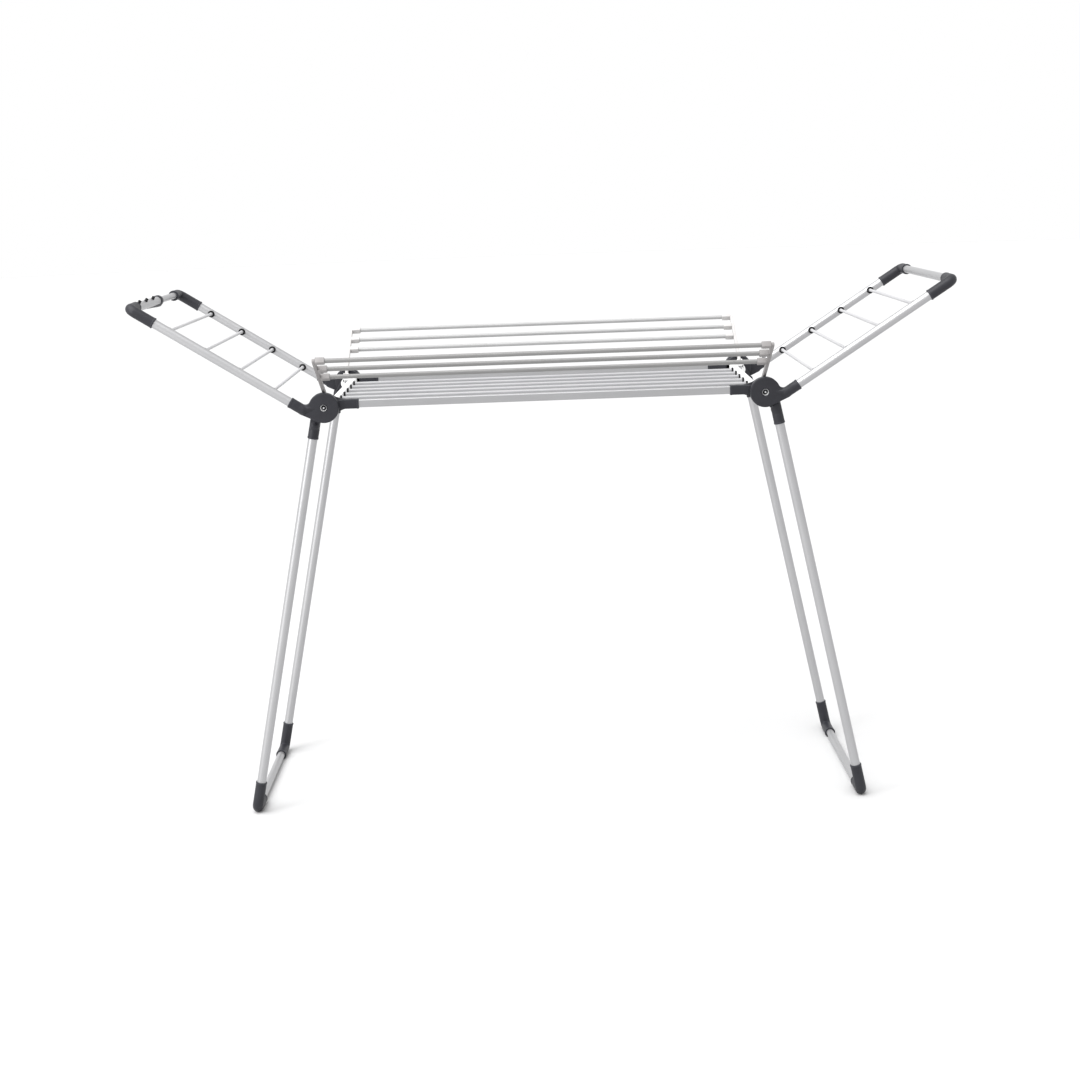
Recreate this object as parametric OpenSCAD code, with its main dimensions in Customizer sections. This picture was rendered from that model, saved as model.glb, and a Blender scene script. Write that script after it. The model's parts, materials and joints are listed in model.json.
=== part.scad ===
// Free-standing gull-wing clothes drying rack.
// A flat centre frame with five drying rods stands on two splayed leg frames. A wing with four
// thin rods rises from each end, and a low rack with three rods leans out at the front and back.
// Everything turns on the four hubs: wings and legs fold on the hub bolts, racks on short pins.
// X runs along the drying rods, Y from front to back, Z up. The origin is on the floor, in the middle.

/* [Frame] */
// Distance between the left and the right hub axes
hub_span = 970; // [860:2:1200]
// Height of the hub axes above the floor
hub_height = 948; // [760:2:1180]
// Distance between the outer faces of the front and the back hub discs
frame_depth = 536; // [440:2:660]

/* [Hubs] */
// Radius of the round outer disc on each wing connector
disc_r = 33.4; // [30:0.2:38]
// Thickness of that disc
disc_t = 17; // [14:0.5:22]
// Radius of the rail connector's disc behind it
rail_disc_r = 31; // [28:0.5:34]
// Thickness of the rail connector's disc
rail_disc_t = 15.6; // [13:0.2:20]
// Radius of the eye on each leg connector
eye_r = 16; // [12:0.5:17]
// Thickness of that eye
eye_t = 11.8; // [9:0.2:15]
// Thickness of the washers between the discs
washer_t = 1; // [0.6:0.1:2]
// Diameter of the hub bolts
bolt_d = 8; // [6:0.5:10]
// Diameter of the bolt heads
bolt_head_d = 14.5; // [12:0.5:17]
// Thickness of the bolt heads
bolt_head_t = 4; // [3:0.5:6]

/* [Rails] */
// Height of the flat rail tubes
rail_h = 17; // [14:0.5:22]
// Thickness of the rail tubes from front to back
rail_w = 12; // [9:0.5:13]
// Height of the rail's centre above the hub axes
rail_rise = 5; // [2:0.5:8]
// Distance from the hub axis to the end of the rail connector's sleeve
rail_sleeve_end = 76; // [64:1:110]

/* [Centre rods] */
// Number of drying rods between the rails
rod_count = 5; // [3:1:6]
// Diameter of the drying rods
rod_d = 8; // [6:0.5:10]
// Height of the rods' centres above the hub axes
rod_rise = 6; // [4:0.5:7]
// Distance from the hub bracket to the nearest rod
rod_margin = 45; // [15:1:60]
// Width of the crossbars along the rods
crossbar_w = 16; // [14:0.5:20]
// Height of the crossbars
crossbar_h = 18; // [15:0.5:19]

/* [Wings] */
// Angle of the wings above the horizontal
wing_angle = 32.7; // [10:0.1:45]
// Length of a wing from the hub axis to its end bar
wing_length = 467; // [380:1:560]
// Distance of the wing tubes below the hub axis, square to the wing
wing_drop = 27; // [24:0.5:30]
// Diameter of the wing tubes
wing_tube_d = 20; // [16:0.5:24]
// Diameter of the right wing's end bar
end_bar_d = 18; // [14:0.5:20]
// Diameter of the left wing's end bar, inside the hanger sleeve
hanger_bar_d = 15; // [12:0.5:16]
// Diameter of the thin rods across the wings
wing_rod_d = 7; // [5:0.5:9]
// Number of thin rods across each wing
wing_rod_count = 4; // [2:1:6]
// Distance from the hub axis to the first thin rod
wing_rod_first = 115; // [90:1:150]
// Distance from the last thin rod to the end bar
wing_rod_last = 94; // [70:1:120]

/* [Legs] */
// Angle of the legs out from the vertical
leg_splay = 12; // [6:0.5:18]
// Distance of the leg tubes outside the hub axis, square to the leg
leg_offset = 17.5; // [15:0.5:20]
// Diameter of the leg tubes
leg_tube_d = 21; // [16:0.5:22]
// Diameter of the floor bars
floor_bar_d = 18; // [14:0.5:19]
// Space between the tubes of the two leg frames when both are folded
nesting_gap = 1.5; // [1:0.5:6]

/* [Side racks] */
// Angle of the open side racks above the horizontal
rack_lean = 29.5; // [25:0.5:60]
// Diameter of the side racks' rods
rack_rod_d = 10; // [8:0.5:11]
// Distance between the side racks' rods
rack_pitch = 43; // [30:1:50]
// Width of the flat rack arms
arm_w = 10; // [8:0.5:11]
// Thickness of the rack arms
arm_t = 7; // [5:0.5:9]

/* [Hanger holder] */
// Length of the hanger sleeve on the left end bar
hanger_sleeve_l = 216; // [180:1:260]
// Diameter of the hanger sleeve
hanger_sleeve_d = 20.5; // [18:0.5:22]
// Distance between the pegs on the sleeve
peg_pitch = 69; // [50:1:85]

/* [Hidden] */
// Rounds are drawn with this many sides
$fn = 48;
// Running clearance of the pivots, and the sliding clearance of tubes in their sockets
pivot_play = 0.05;
socket_play = 0.1;
// Side play of each turning disc
side_play = 0.2;
// Overlap that joins the shapes of one piece
join = 0.5;
// How far an inside curve sinks into the two edges that it joins
curve_sink = 0.05;
// Walls of the tubes, the sleeves and the corner elbows
tube_wall = 1.2;
sleeve_wall = 1.75;
elbow_wall = 2;
rail_sleeve_wall = 2;
// Where the hub axes are
hub_x = hub_span / 2;
hub_y = frame_depth / 2;

// The hub stack, from the outer face inwards
disc_in = hub_y - disc_t;
rail_disc_out = disc_in - side_play - washer_t;
rail_disc_in = rail_disc_out - rail_disc_t;
eye_out = rail_disc_in - washer_t - side_play;
eye_in = eye_out - eye_t;
bracket_out = eye_in - side_play;
bracket_t = 21;
bracket_in = bracket_out - bracket_t;
// The bolt head sits below the disc's face, and the nut in the bracket's pocket
head_recess = 2;
recess_d = bolt_head_d + 1.5;
head_out = hub_y - head_recess;
nut_t = 6;
nut_d = bolt_d * 1.85;
nut_in = bracket_in + 3;
hex_socket_d = 5;
washer_d = 24;

// Rails and their connectors
rail_y = (rail_disc_out + rail_disc_in) / 2;
rail_sleeve_h = rail_h + 2 * rail_sleeve_wall;
rail_socket_depth = 34;
rail_fillet = 33;
// Slot in the connector's disc that the rack's arm passes through
arm_relief_w = arm_t + 3;
arm_relief_z = 21;

// Crossbars and hub brackets
crossbar_inset = 16;
crossbar_rise = 3;
crossbar_x = hub_x - crossbar_inset;
crossbar_wall = 1.5;
bracket_wall = 2;
bracket_socket_l = 20;
bracket_socket_depth = 14;
bracket_socket_out = bracket_in + 6;
bracket_socket_in = bracket_socket_out - bracket_socket_l;
crossbar_end = bracket_socket_in + bracket_socket_depth;
boss_r = 13;
rod_end = crossbar_x + crossbar_w / 2 - crossbar_wall - 1;
rod_pitch = 2 * (bracket_socket_in - rod_margin) / (rod_count - 1);
cap_d = rod_d + 4;
cap_t = 4;

// Wings: the connector's sleeve, the corner elbows and the rods
wing_y = hub_y - 8;
wing_sleeve_d = wing_tube_d + 2 * sleeve_wall;
wing_sleeve_start = 38;
wing_sleeve_end = 70;
neck_fillet = 13;
neck_line = -wing_drop + wing_sleeve_d / 2 - 1.25;
elbow_d = wing_tube_d + 2 * elbow_wall;
elbow_bend = 14;
wing_elbow_arm = 60;
tube_stop = elbow_bend + 2;
wing_tube_start = wing_sleeve_start + 4;
wing_rod_pitch = (wing_length - wing_rod_first - wing_rod_last) / (wing_rod_count - 1);
grommet_d = wing_rod_d + 8.5;
grommet_t = 4;

// Leg frames: the right one is wide and the left one nests inside it
leg_nesting = leg_tube_d + nesting_gap;
right_leg_y = rail_y + 2;
left_leg_y = right_leg_y - leg_nesting;
leg_sleeve_d = leg_tube_d + 2 * sleeve_wall - 0.5;
leg_sleeve_start = 48;
leg_sleeve_end = 78;
leg_tube_start = leg_sleeve_start + 2;
leg_boss_r = 11;
foot_d = leg_tube_d + 2 * elbow_wall;
foot_arm = 66;
foot_flat = 0.8;
foot_axis = foot_d / 2 - foot_flat;
leg_length = (hub_height + leg_offset * sin(leg_splay) - foot_axis) / cos(leg_splay);

// Side racks: the arms turn on pins in the hub brackets
rack_pivot_y = bracket_out - 13;
rack_pivot_z = 16;
rack_pin_d = 5;
rack_eye_r = 7;
arm_play = 0.4;
lug_t = 5;
lug_r = 8;
socket_w = 13;
socket_l = 20;
rack_gap = 0.5;
rack_reach = rack_pivot_y - socket_w / 2 - rack_gap;
rack_rod_count = 3;
rack_rod_wall = 1;

// Hanger holder on the left end bar
hanger_start = -(wing_y - wing_elbow_arm);
hanger_end = hanger_start + hanger_sleeve_l;
collar_d = hanger_sleeve_d + 5;
collar_t = 14;
lip_w = 9;
lip_l = 120;
lip_drop = 4;
lip_turn = 50;
peg_d = 8;
peg_h = 7;
peg_count = 3;

anthracite = "#3b3d44";
aluminium = "#c4c4c6";
white_paint = "#f2f2f3";
light_grey = "#d4d2d1";
steel = "#b8bbc0";
rubber_black = "#18181a";

// ---------- placing ----------

// Puts a shape for the right and the back on any side: side is -1 left or 1 right,
// face is -1 front or 1 back
module on_corner(side, face) {
    mirror([side < 0 ? 1 : 0, 0, 0])
        mirror([0, face < 0 ? 1 : 0, 0])
            children();
}

// The hub axis, with +X pointing outwards
module at_hub(side, face) {
    on_corner(side, face)
        translate([hub_x, 0, hub_height])
            children();
}

// A wing's own frame: +X runs up along the wing, +Z stands square to it
module on_wing(side, face) {
    at_hub(side, face)
        rotate([0, -wing_angle, 0])
            children();
}

// A leg's own frame: -Z runs down along the leg, +X points outwards
module on_leg(side, face) {
    at_hub(side, face)
        rotate([0, -leg_splay, 0])
            children();
}

// A rack's own frame: +Y runs up along its arms
module on_rack(face) {
    mirror([0, face < 0 ? 1 : 0, 0])
        translate([0, rack_pivot_y, hub_height + rack_pivot_z])
            rotate([rack_lean, 0, 0])
                children();
}

// ---------- shared shapes ----------

// A round bar along X, Y or Z from one value to another
module bar_x(from, to, d) {
    translate([from, 0, 0])
        rotate([0, 90, 0])
            cylinder(h = to - from, d = d);
}

module bar_y(from, to, d) {
    translate([0, from, 0])
        rotate([-90, 0, 0])
            cylinder(h = to - from, d = d);
}

module tube_x(from, to, d, wall) {
    difference() {
        bar_x(from, to, d);
        bar_x(from - 1, to + 1, d - 2 * wall);
    }
}

module tube_y(from, to, d, wall) {
    difference() {
        bar_y(from, to, d);
        bar_y(from - 1, to + 1, d - 2 * wall);
    }
}

// An outline in the XZ plane, given thickness in Y from one value to another
module plate_y(from, to) {
    translate([0, to, 0])
        rotate([90, 0, 0])
            linear_extrude(to - from)
                children();
}

// A square corner of round tube: one socket along -X, the other along -Y, meeting at the origin
module corner_elbow(d, bore_x, bore_y, arm) {
    difference() {
        union() {
            bar_x(-arm, -elbow_bend, d);
            translate([-elbow_bend, -elbow_bend, 0])
                rotate_extrude(angle = 90)
                    translate([elbow_bend, 0])
                        circle(d = d);
            bar_y(-arm, -elbow_bend, d);
        }
        bar_x(-arm - 1, -tube_stop, bore_x + 2 * socket_play);
        bar_y(-arm - 1, -tube_stop, bore_y + 2 * socket_play);
    }
}

// The inside curve between a disc of radius r and a level edge at height z:
// a wedge of material with a round of radius f cut out of it
module disc_fillet(r, z, f) {
    side = z < 0 ? -1 : 1;
    cz = z + side * f;
    cx = sqrt((r + f) * (r + f) - cz * cz);
    touch = [cx, cz] * r / (r + f);
    wedge = [[0, 0], touch, [cx, z], [cx, 0]];
    difference() {
        polygon(side < 0 ? wedge : [for (i = [3 : -1 : 0]) wedge[i]]);
        translate([cx, cz])
            circle(r = f + curve_sink);
    }
}

// ---------- centre frame ----------

module rail(face) {
    color(aluminium)
        on_corner(1, face)
            translate([0, rail_y, hub_height + rail_rise])
                rotate([0, 90, 0])
                    rail_section(2 * (hub_x - rail_sleeve_end + rail_socket_depth));
}

// A flat tube with small rounded edges, centred along its length
module rail_section(length) {
    linear_extrude(length, center = true)
        difference() {
            rounded_rect(rail_h, rail_w, 2);
            rounded_rect(rail_h - 2 * tube_wall, rail_w - 2 * tube_wall, 1);
        }
}

module rounded_rect(w, h, r) {
    square([w - 2 * r, h], center = true);
    square([w, h - 2 * r], center = true);
    for (x = [-1, 1], y = [-1, 1])
        translate([x * (w / 2 - r), y * (h / 2 - r)])
            circle(r = r);
}

module rail_connector(side, face) {
    low = rail_rise - rail_sleeve_h / 2;
    high = rail_rise + rail_sleeve_h / 2;
    color(anthracite)
        on_corner(side, face)
            translate([hub_x, 0, hub_height])
                mirror([1, 0, 0])
                    difference() {
                        plate_y(rail_disc_in, rail_disc_out) {
                            circle(r = rail_disc_r);
                            translate([0, low])
                                square([rail_sleeve_end, rail_sleeve_h]);
                            disc_fillet(rail_disc_r, low, rail_fillet);
                            disc_fillet(rail_disc_r, high, rail_fillet);
                        }
                        translate([rail_sleeve_end - rail_socket_depth, rail_y, rail_rise])
                            rotate([0, 90, 0])
                                linear_extrude(rail_socket_depth + 1)
                                    rounded_rect(rail_h + 2 * socket_play, rail_w + 2 * socket_play, 2);
                        bar_y(rail_disc_in - 1, rail_disc_out + 1, bolt_d + 2 * pivot_play);
                        translate([-arm_relief_w / 2, rail_disc_in - 1, arm_relief_z])
                            cube([arm_relief_w, rail_disc_t + 2, rail_disc_r]);
                    }
}

module crossbar(side) {
    color(white_paint)
        on_corner(side, 1)
            translate([crossbar_x, 0, hub_height + crossbar_rise])
                difference() {
                    rotate([90, 0, 0])
                        linear_extrude(2 * crossbar_end, center = true)
                            difference() {
                                rounded_rect(crossbar_w, crossbar_h, 3);
                                rounded_rect(crossbar_w - 2 * crossbar_wall, crossbar_h - 2 * crossbar_wall, 1.5);
                            }
                    for (i = [0 : rod_count - 1])
                        translate([0, rod_place(i), rod_rise - crossbar_rise])
                            bar_x(-crossbar_w, 0, rod_d + 2 * socket_play);
                }
}

function rod_place(i) = (i - (rod_count - 1) / 2) * rod_pitch;

module centre_rod(i) {
    color(light_grey)
        translate([0, rod_place(i), hub_height + rod_rise])
            bar_x(-rod_end, rod_end, rod_d);
}

module rod_caps() {
    inner_face = crossbar_x - crossbar_w / 2;
    color(rubber_black)
        for (side = [-1, 1], i = [0 : rod_count - 1])
            on_corner(side, 1)
                translate([0, rod_place(i), hub_height + rod_rise])
                    difference() {
                        bar_x(inner_face - cap_t, inner_face, cap_d);
                        bar_x(inner_face - cap_t - 1, inner_face + 1, rod_d + 2 * socket_play);
                    }
}

// Holds the crossbar's end, the inner end of the hub bolt and the pin of the rack's arm
module hub_bracket(side, face) {
    socket_w_out = crossbar_w + 2 * bracket_wall;
    socket_h_out = crossbar_h + 2 * bracket_wall;
    slot = arm_t + 2 * arm_play;
    lug_out = slot / 2 + lug_t;
    at_hub(side, face)
        difference() {
            union() {
                bar_y(bracket_in, bracket_out, 2 * boss_r);
                translate([-crossbar_inset - socket_w_out / 2, bracket_socket_in, crossbar_rise - socket_h_out / 2])
                    cube([socket_w_out, bracket_socket_l, socket_h_out]);
                translate([-crossbar_inset, bracket_in, -boss_r + 2])
                    cube([crossbar_inset, bracket_socket_out - bracket_in, 2 * boss_r - 4]);
                translate([0, rack_pivot_y - lug_r, 0])
                    rotate([90, 0, 90])
                        translate([0, 0, -lug_out])
                            linear_extrude(2 * lug_out) {
                                square([2 * lug_r, rack_pivot_z]);
                                translate([lug_r, rack_pivot_z])
                                    circle(r = lug_r);
                            }
            }
            translate([-crossbar_inset, 0, crossbar_rise])
                rotate([90, 0, 0])
                    translate([0, 0, -crossbar_end])
                        linear_extrude(crossbar_end)
                            rounded_rect(crossbar_w + 2 * socket_play, crossbar_h + 2 * socket_play, 3);
            translate([-slot / 2, bracket_socket_in - 1, rack_pivot_z - rack_eye_r - arm_play])
                cube([slot, bracket_out - bracket_socket_in + 2, 40]);
            translate([0, rack_pivot_y, rack_pivot_z])
                bar_x(-lug_out - 1, lug_out + 1, rack_pin_d + 2 * pivot_play);
            bar_y(bracket_in - 1, bracket_out + 1, bolt_d + 2 * pivot_play);
            bar_y(bracket_in - 1, nut_in + nut_t, nut_d + 1);
        }
}

module hub_brackets() {
    color(white_paint)
        for (side = [-1, 1], face = [-1, 1])
            hub_bracket(side, face);
}

module hub_bolts() {
    color(steel)
        for (side = [-1, 1], face = [-1, 1])
            at_hub(side, face)
                difference() {
                    union() {
                        bar_y(head_out - bolt_head_t, head_out, bolt_head_d);
                        bar_y(nut_in, head_out - bolt_head_t + join, bolt_d);
                    }
                    bar_y(head_out - bolt_head_t + 1, head_out + 1, hex_socket_d + 2);
                }
}

module hub_nuts() {
    color(steel)
        for (side = [-1, 1], face = [-1, 1])
            at_hub(side, face)
                translate([0, nut_in, 0])
                    rotate([-90, 0, 0])
                        difference() {
                            cylinder(h = nut_t, d = nut_d, $fn = 6);
                            translate([0, 0, -1])
                                cylinder(h = nut_t + 2, d = bolt_d + 2 * pivot_play);
                        }
}

module hub_washers() {
    color(white_paint)
        for (side = [-1, 1], face = [-1, 1], from = [rail_disc_out, rail_disc_in - washer_t])
            at_hub(side, face)
                difference() {
                    bar_y(from, from + washer_t, washer_d);
                    bar_y(from - 1, from + washer_t + 1, bolt_d + 2 * pivot_play);
                }
}

module rack_pins() {
    half = arm_t / 2 + arm_play + lug_t;
    color(steel)
        for (side = [-1, 1], face = [-1, 1])
            at_hub(side, face)
                translate([0, rack_pivot_y, rack_pivot_z])
                    bar_x(-half, half, rack_pin_d);
}

// ---------- wings ----------

// The neck's lower edge is the line that touches both the disc and the sleeve's rounded start
function low_normal() =
    let (
        reach = norm([wing_sleeve_start, wing_drop]),
        line = atan2(-wing_drop, wing_sleeve_start)
    )
    line - acos((disc_r - wing_sleeve_d / 2) / reach);

module wing_connector(side, face) {
    n = [cos(low_normal()), sin(low_normal())];
    cz = neck_line + neck_fillet;
    cx = sqrt((disc_r + neck_fillet) * (disc_r + neck_fillet) - cz * cz);
    start = [wing_sleeve_start, -wing_drop];
    color(anthracite)
        on_wing(side, face)
            difference() {
                union() {
                    plate_y(disc_in, hub_y) {
                        circle(r = disc_r);
                        difference() {
                            union() {
                                polygon([
                                    [0, 0],
                                    [cx, cz] * disc_r / (disc_r + neck_fillet),
                                    [cx, neck_line],
                                    start,
                                    start + n * wing_sleeve_d / 2,
                                    n * disc_r
                                ]);
                                translate(start)
                                    circle(d = wing_sleeve_d);
                            }
                            translate([cx, cz])
                                circle(r = neck_fillet + curve_sink);
                        }
                    }
                    translate([0, wing_y, -wing_drop])
                        bar_x(wing_sleeve_start, wing_sleeve_end, wing_sleeve_d);
                }
                translate([0, wing_y, -wing_drop])
                    bar_x(wing_tube_start, wing_sleeve_end + 1, wing_tube_d + 2 * socket_play);
                bar_y(disc_in - 1, hub_y, bolt_d + 2 * pivot_play);
                bar_y(head_out - bolt_head_t - side_play, hub_y + 1, recess_d);
            }
}

function wing_rod_place(i) = wing_rod_first + i * wing_rod_pitch;

module wing_tube(side, face) {
    color(aluminium)
        on_wing(side, face)
            translate([0, wing_y, -wing_drop])
                difference() {
                    tube_x(wing_tube_start, wing_length - tube_stop, wing_tube_d, tube_wall);
                    for (i = [0 : wing_rod_count - 1])
                        translate([wing_rod_place(i), 0, 0])
                            bar_y(-wing_tube_d, 0, wing_rod_d + 2 * socket_play);
                }
}

module wing_elbows(side, bar_d) {
    color(anthracite)
        for (face = [-1, 1])
            on_wing(side, face)
                translate([wing_length, wing_y, -wing_drop])
                    corner_elbow(elbow_d, wing_tube_d, bar_d, wing_elbow_arm);
}

module end_bar(side, bar_d) {
    half = wing_y - tube_stop;
    color(aluminium)
        on_wing(side, 1)
            translate([wing_length, 0, -wing_drop])
                tube_y(-half, half, bar_d, tube_wall);
}

module wing_rods(side) {
    half = wing_y + 3;
    color(white_paint)
        for (i = [0 : wing_rod_count - 1])
            on_wing(side, 1)
                translate([wing_rod_place(i), 0, -wing_drop])
                    bar_y(-half, half, wing_rod_d);
}

// Rings round the rods' ends, shaped to the tubes
module grommets(side) {
    tube_face = wing_y - wing_tube_d / 2;
    color(rubber_black)
        for (face = [-1, 1], i = [0 : wing_rod_count - 1])
            on_wing(side, face)
                translate([wing_rod_place(i), 0, -wing_drop])
                    difference() {
                        bar_y(tube_face - grommet_t, tube_face + grommet_t, grommet_d);
                        bar_y(0, wing_y, wing_rod_d + 2 * socket_play);
                        translate([0, wing_y, 0])
                            bar_x(-grommet_d, grommet_d, wing_tube_d + 2 * socket_play);
                    }
}

// ---------- hanger holder ----------

module on_left_end_bar() {
    on_wing(-1, 1)
        translate([wing_length, 0, -wing_drop])
            children();
}

function peg_place(i) = hanger_start + peg_d + i * peg_pitch;

module hanger_sleeve() {
    color(aluminium)
        on_left_end_bar()
            difference() {
                bar_y(hanger_start, hanger_end, hanger_sleeve_d);
                bar_y(hanger_start - 1, hanger_end + 1, hanger_bar_d + 2 * socket_play);
                for (i = [0 : peg_count - 1])
                    translate([0, peg_place(i), 0])
                        cylinder(h = hanger_sleeve_d, d = peg_d - 2);
            }
}

// The dark end ring, with a lip that runs back under the sleeve
module hanger_collar() {
    color(anthracite)
        on_left_end_bar()
            difference() {
                union() {
                    bar_y(hanger_end, hanger_end + collar_t, collar_d);
                    rotate([0, lip_turn, 0])
                        translate([-lip_w / 2, hanger_end - lip_l, -hanger_sleeve_d / 2 - lip_drop])
                            cube([lip_w, lip_l + join, 2 * lip_drop]);
                }
                bar_y(hanger_end - lip_l - 1, hanger_end + collar_t + 1, hanger_bar_d + 2 * socket_play);
                bar_y(hanger_end - lip_l - 1, hanger_end, hanger_sleeve_d + 2 * socket_play);
            }
}

module hanger_pegs() {
    root = hanger_bar_d / 2 + socket_play;
    top = hanger_sleeve_d / 2;
    color(rubber_black)
        for (i = [0 : peg_count - 1])
            on_left_end_bar()
                translate([0, peg_place(i), 0])
                    difference() {
                        union() {
                            translate([0, 0, root - 2])
                                cylinder(h = top, d = peg_d - 2 - 2 * socket_play);
                            translate([0, 0, top])
                                cylinder(h = peg_h, d = peg_d);
                        }
                        bar_y(-peg_d, peg_d, 2 * root);
                    }
}

// ---------- leg frames ----------

function leg_y(side) = side < 0 ? left_leg_y : right_leg_y;

// The edge lines that touch both the eye and the leg's boss
function link_normal(turn) =
    let (
        reach = norm([leg_offset, leg_sleeve_start]),
        line = atan2(-leg_sleeve_start, leg_offset)
    )
    line + turn * acos((eye_r - leg_boss_r) / reach);

module leg_connector(side, face) {
    inner = min(leg_y(side), eye_in);
    outer = max(leg_y(side), eye_out);
    left = [cos(link_normal(-1)), sin(link_normal(-1))];
    right = [cos(link_normal(1)), sin(link_normal(1))];
    boss = [leg_offset, -leg_sleeve_start];
    color(anthracite)
        on_leg(side, face)
            difference() {
                union() {
                    plate_y(eye_in, eye_out) {
                        circle(r = eye_r);
                        polygon([
                            right * eye_r,
                            left * eye_r,
                            boss + left * leg_boss_r,
                            boss + right * leg_boss_r
                        ]);
                    }
                    translate([leg_offset, 0, -leg_sleeve_start])
                        bar_y(inner, outer, 2 * leg_boss_r);
                    translate([leg_offset, leg_y(side), -leg_sleeve_start])
                        sphere(d = leg_sleeve_d);
                    translate([leg_offset, leg_y(side), -leg_sleeve_end])
                        cylinder(h = leg_sleeve_end - leg_sleeve_start, d = leg_sleeve_d);
                }
                translate([leg_offset, leg_y(side), -leg_sleeve_end - 1])
                    cylinder(h = leg_sleeve_end + 1 - leg_tube_start, d = leg_tube_d + 2 * socket_play);
                bar_y(eye_in - 1, eye_out + 1, bolt_d + 2 * pivot_play);
            }
}

module leg_tube(side, face) {
    length = leg_length - tube_stop - leg_tube_start;
    color(aluminium)
        on_leg(side, face)
            translate([leg_offset, leg_y(side), -leg_tube_start - length])
                difference() {
                    cylinder(h = length, d = leg_tube_d);
                    translate([0, 0, -1])
                        cylinder(h = length + 2, d = leg_tube_d - 2 * tube_wall);
                }
}

// The elbow's underside is cut flat where it stands on the floor
module foot_elbow(side, face) {
    color(anthracite)
        difference() {
            on_leg(side, face)
                translate([leg_offset, leg_y(side), -leg_length])
                    rotate([0, 90, 0])
                        corner_elbow(foot_d, leg_tube_d, floor_bar_d, foot_arm);
            translate([-hub_span, -frame_depth, -foot_d])
                cube([2 * hub_span, 2 * frame_depth, foot_d]);
        }
}

module floor_bar(side) {
    half = leg_y(side) - tube_stop;
    color(aluminium)
        on_leg(side, 1)
            translate([leg_offset, 0, -leg_length])
                tube_y(-half, half, floor_bar_d, tube_wall);
}

// ---------- side racks ----------

function rack_rod_place(i) = rack_reach - (rack_rod_count - 1 - i) * rack_pitch;

module rack_arms(face) {
    color(light_grey)
        for (side = [-1, 1])
            on_rack(face)
                translate([side * hub_x - arm_t / 2, 0, 0])
                    rotate([90, 0, 90])
                        linear_extrude(arm_t)
                            difference() {
                                union() {
                                    circle(r = rack_eye_r);
                                    translate([0, -arm_w / 2])
                                        square([rack_reach, arm_w]);
                                    translate([rack_reach, 0])
                                        circle(d = arm_w);
                                }
                                circle(d = rack_pin_d + 2 * pivot_play);
                            }
}

module rack_rods(face) {
    half = hub_x - arm_t / 2;
    color(light_grey)
        for (i = [0 : rack_rod_count - 1])
            on_rack(face)
                translate([0, rack_rod_place(i), 0])
                    tube_x(-half, half, rack_rod_d, rack_rod_wall);
}

module rack_sockets(face) {
    outer = hub_x - arm_t / 2;
    color(light_grey)
        for (side = [-1, 1], i = [0 : rack_rod_count - 1])
            on_rack(face)
                translate([0, rack_rod_place(i), 0])
                    mirror([side < 0 ? 1 : 0, 0, 0])
                        translate([outer - socket_l, 0, 0])
                            rotate([90, 0, 90])
                                linear_extrude(socket_l)
                                    difference() {
                                        rounded_rect(socket_w, socket_w, 2);
                                        circle(d = rack_rod_d + 2 * socket_play);
                                    }
}

rail(-1);  // front_rail
rail(1);  // back_rail
rail_connector(-1, -1);  // rail_connector_fl
rail_connector(1, -1);  // rail_connector_fr
rail_connector(-1, 1);  // rail_connector_bl
rail_connector(1, 1);  // rail_connector_br
crossbar(-1);  // left_crossbar
crossbar(1);  // right_crossbar
for (i = [0 : rod_count - 1])
    centre_rod(i);
rod_caps();
hub_brackets();
hub_bolts();
hub_nuts();
hub_washers();
rack_pins();
wing_connector(-1, -1);  // wing_connector_fl
wing_connector(-1, 1);  // wing_connector_bl
wing_tube(-1, -1);  // wing_tube_fl
wing_tube(-1, 1);  // wing_tube_bl
wing_elbows(-1, hanger_bar_d);  // left_wing_elbows
end_bar(-1, hanger_bar_d);  // left_end_bar
wing_rods(-1);  // left_wing_rods
grommets(-1);  // left_grommets
hanger_sleeve();
hanger_collar();
hanger_pegs();
wing_connector(1, -1);  // wing_connector_fr
wing_connector(1, 1);  // wing_connector_br
wing_tube(1, -1);  // wing_tube_fr
wing_tube(1, 1);  // wing_tube_br
wing_elbows(1, end_bar_d);  // right_wing_elbows
end_bar(1, end_bar_d);  // right_end_bar
wing_rods(1);  // right_wing_rods
grommets(1);  // right_grommets
leg_connector(-1, -1);  // leg_connector_fl
leg_connector(-1, 1);  // leg_connector_bl
leg_tube(-1, -1);  // leg_tube_fl
leg_tube(-1, 1);  // leg_tube_bl
foot_elbow(-1, -1);  // foot_elbow_fl
foot_elbow(-1, 1);  // foot_elbow_bl
floor_bar(-1);  // left_floor_bar
leg_connector(1, -1);  // leg_connector_fr
leg_connector(1, 1);  // leg_connector_br
leg_tube(1, -1);  // leg_tube_fr
leg_tube(1, 1);  // leg_tube_br
foot_elbow(1, -1);  // foot_elbow_fr
foot_elbow(1, 1);  // foot_elbow_br
floor_bar(1);  // right_floor_bar
rack_arms(-1);  // front_rack_arms
rack_rods(-1);  // front_rack_rods
rack_sockets(-1);  // front_rack_sockets
rack_arms(1);  // back_rack_arms
rack_rods(1);  // back_rack_rods
rack_sockets(1);  // back_rack_sockets
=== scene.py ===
# %% [markdown]
# # A clothes drying rack with folding wings
# The rack is made of aluminium tubes held together by moulded plastic connectors. This lesson builds
# every visible piece as a mesh, gives each one a finish made of shader nodes, and sets up the studio.
# It starts from a fixed frame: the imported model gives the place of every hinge, and each piece that is
# made here rides on one of its bodies, so that the rack can still be folded.

# %% Load the frame
import json
import math

import bmesh
import bpy
import numpy as np
from mathutils import Matrix, Vector


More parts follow.
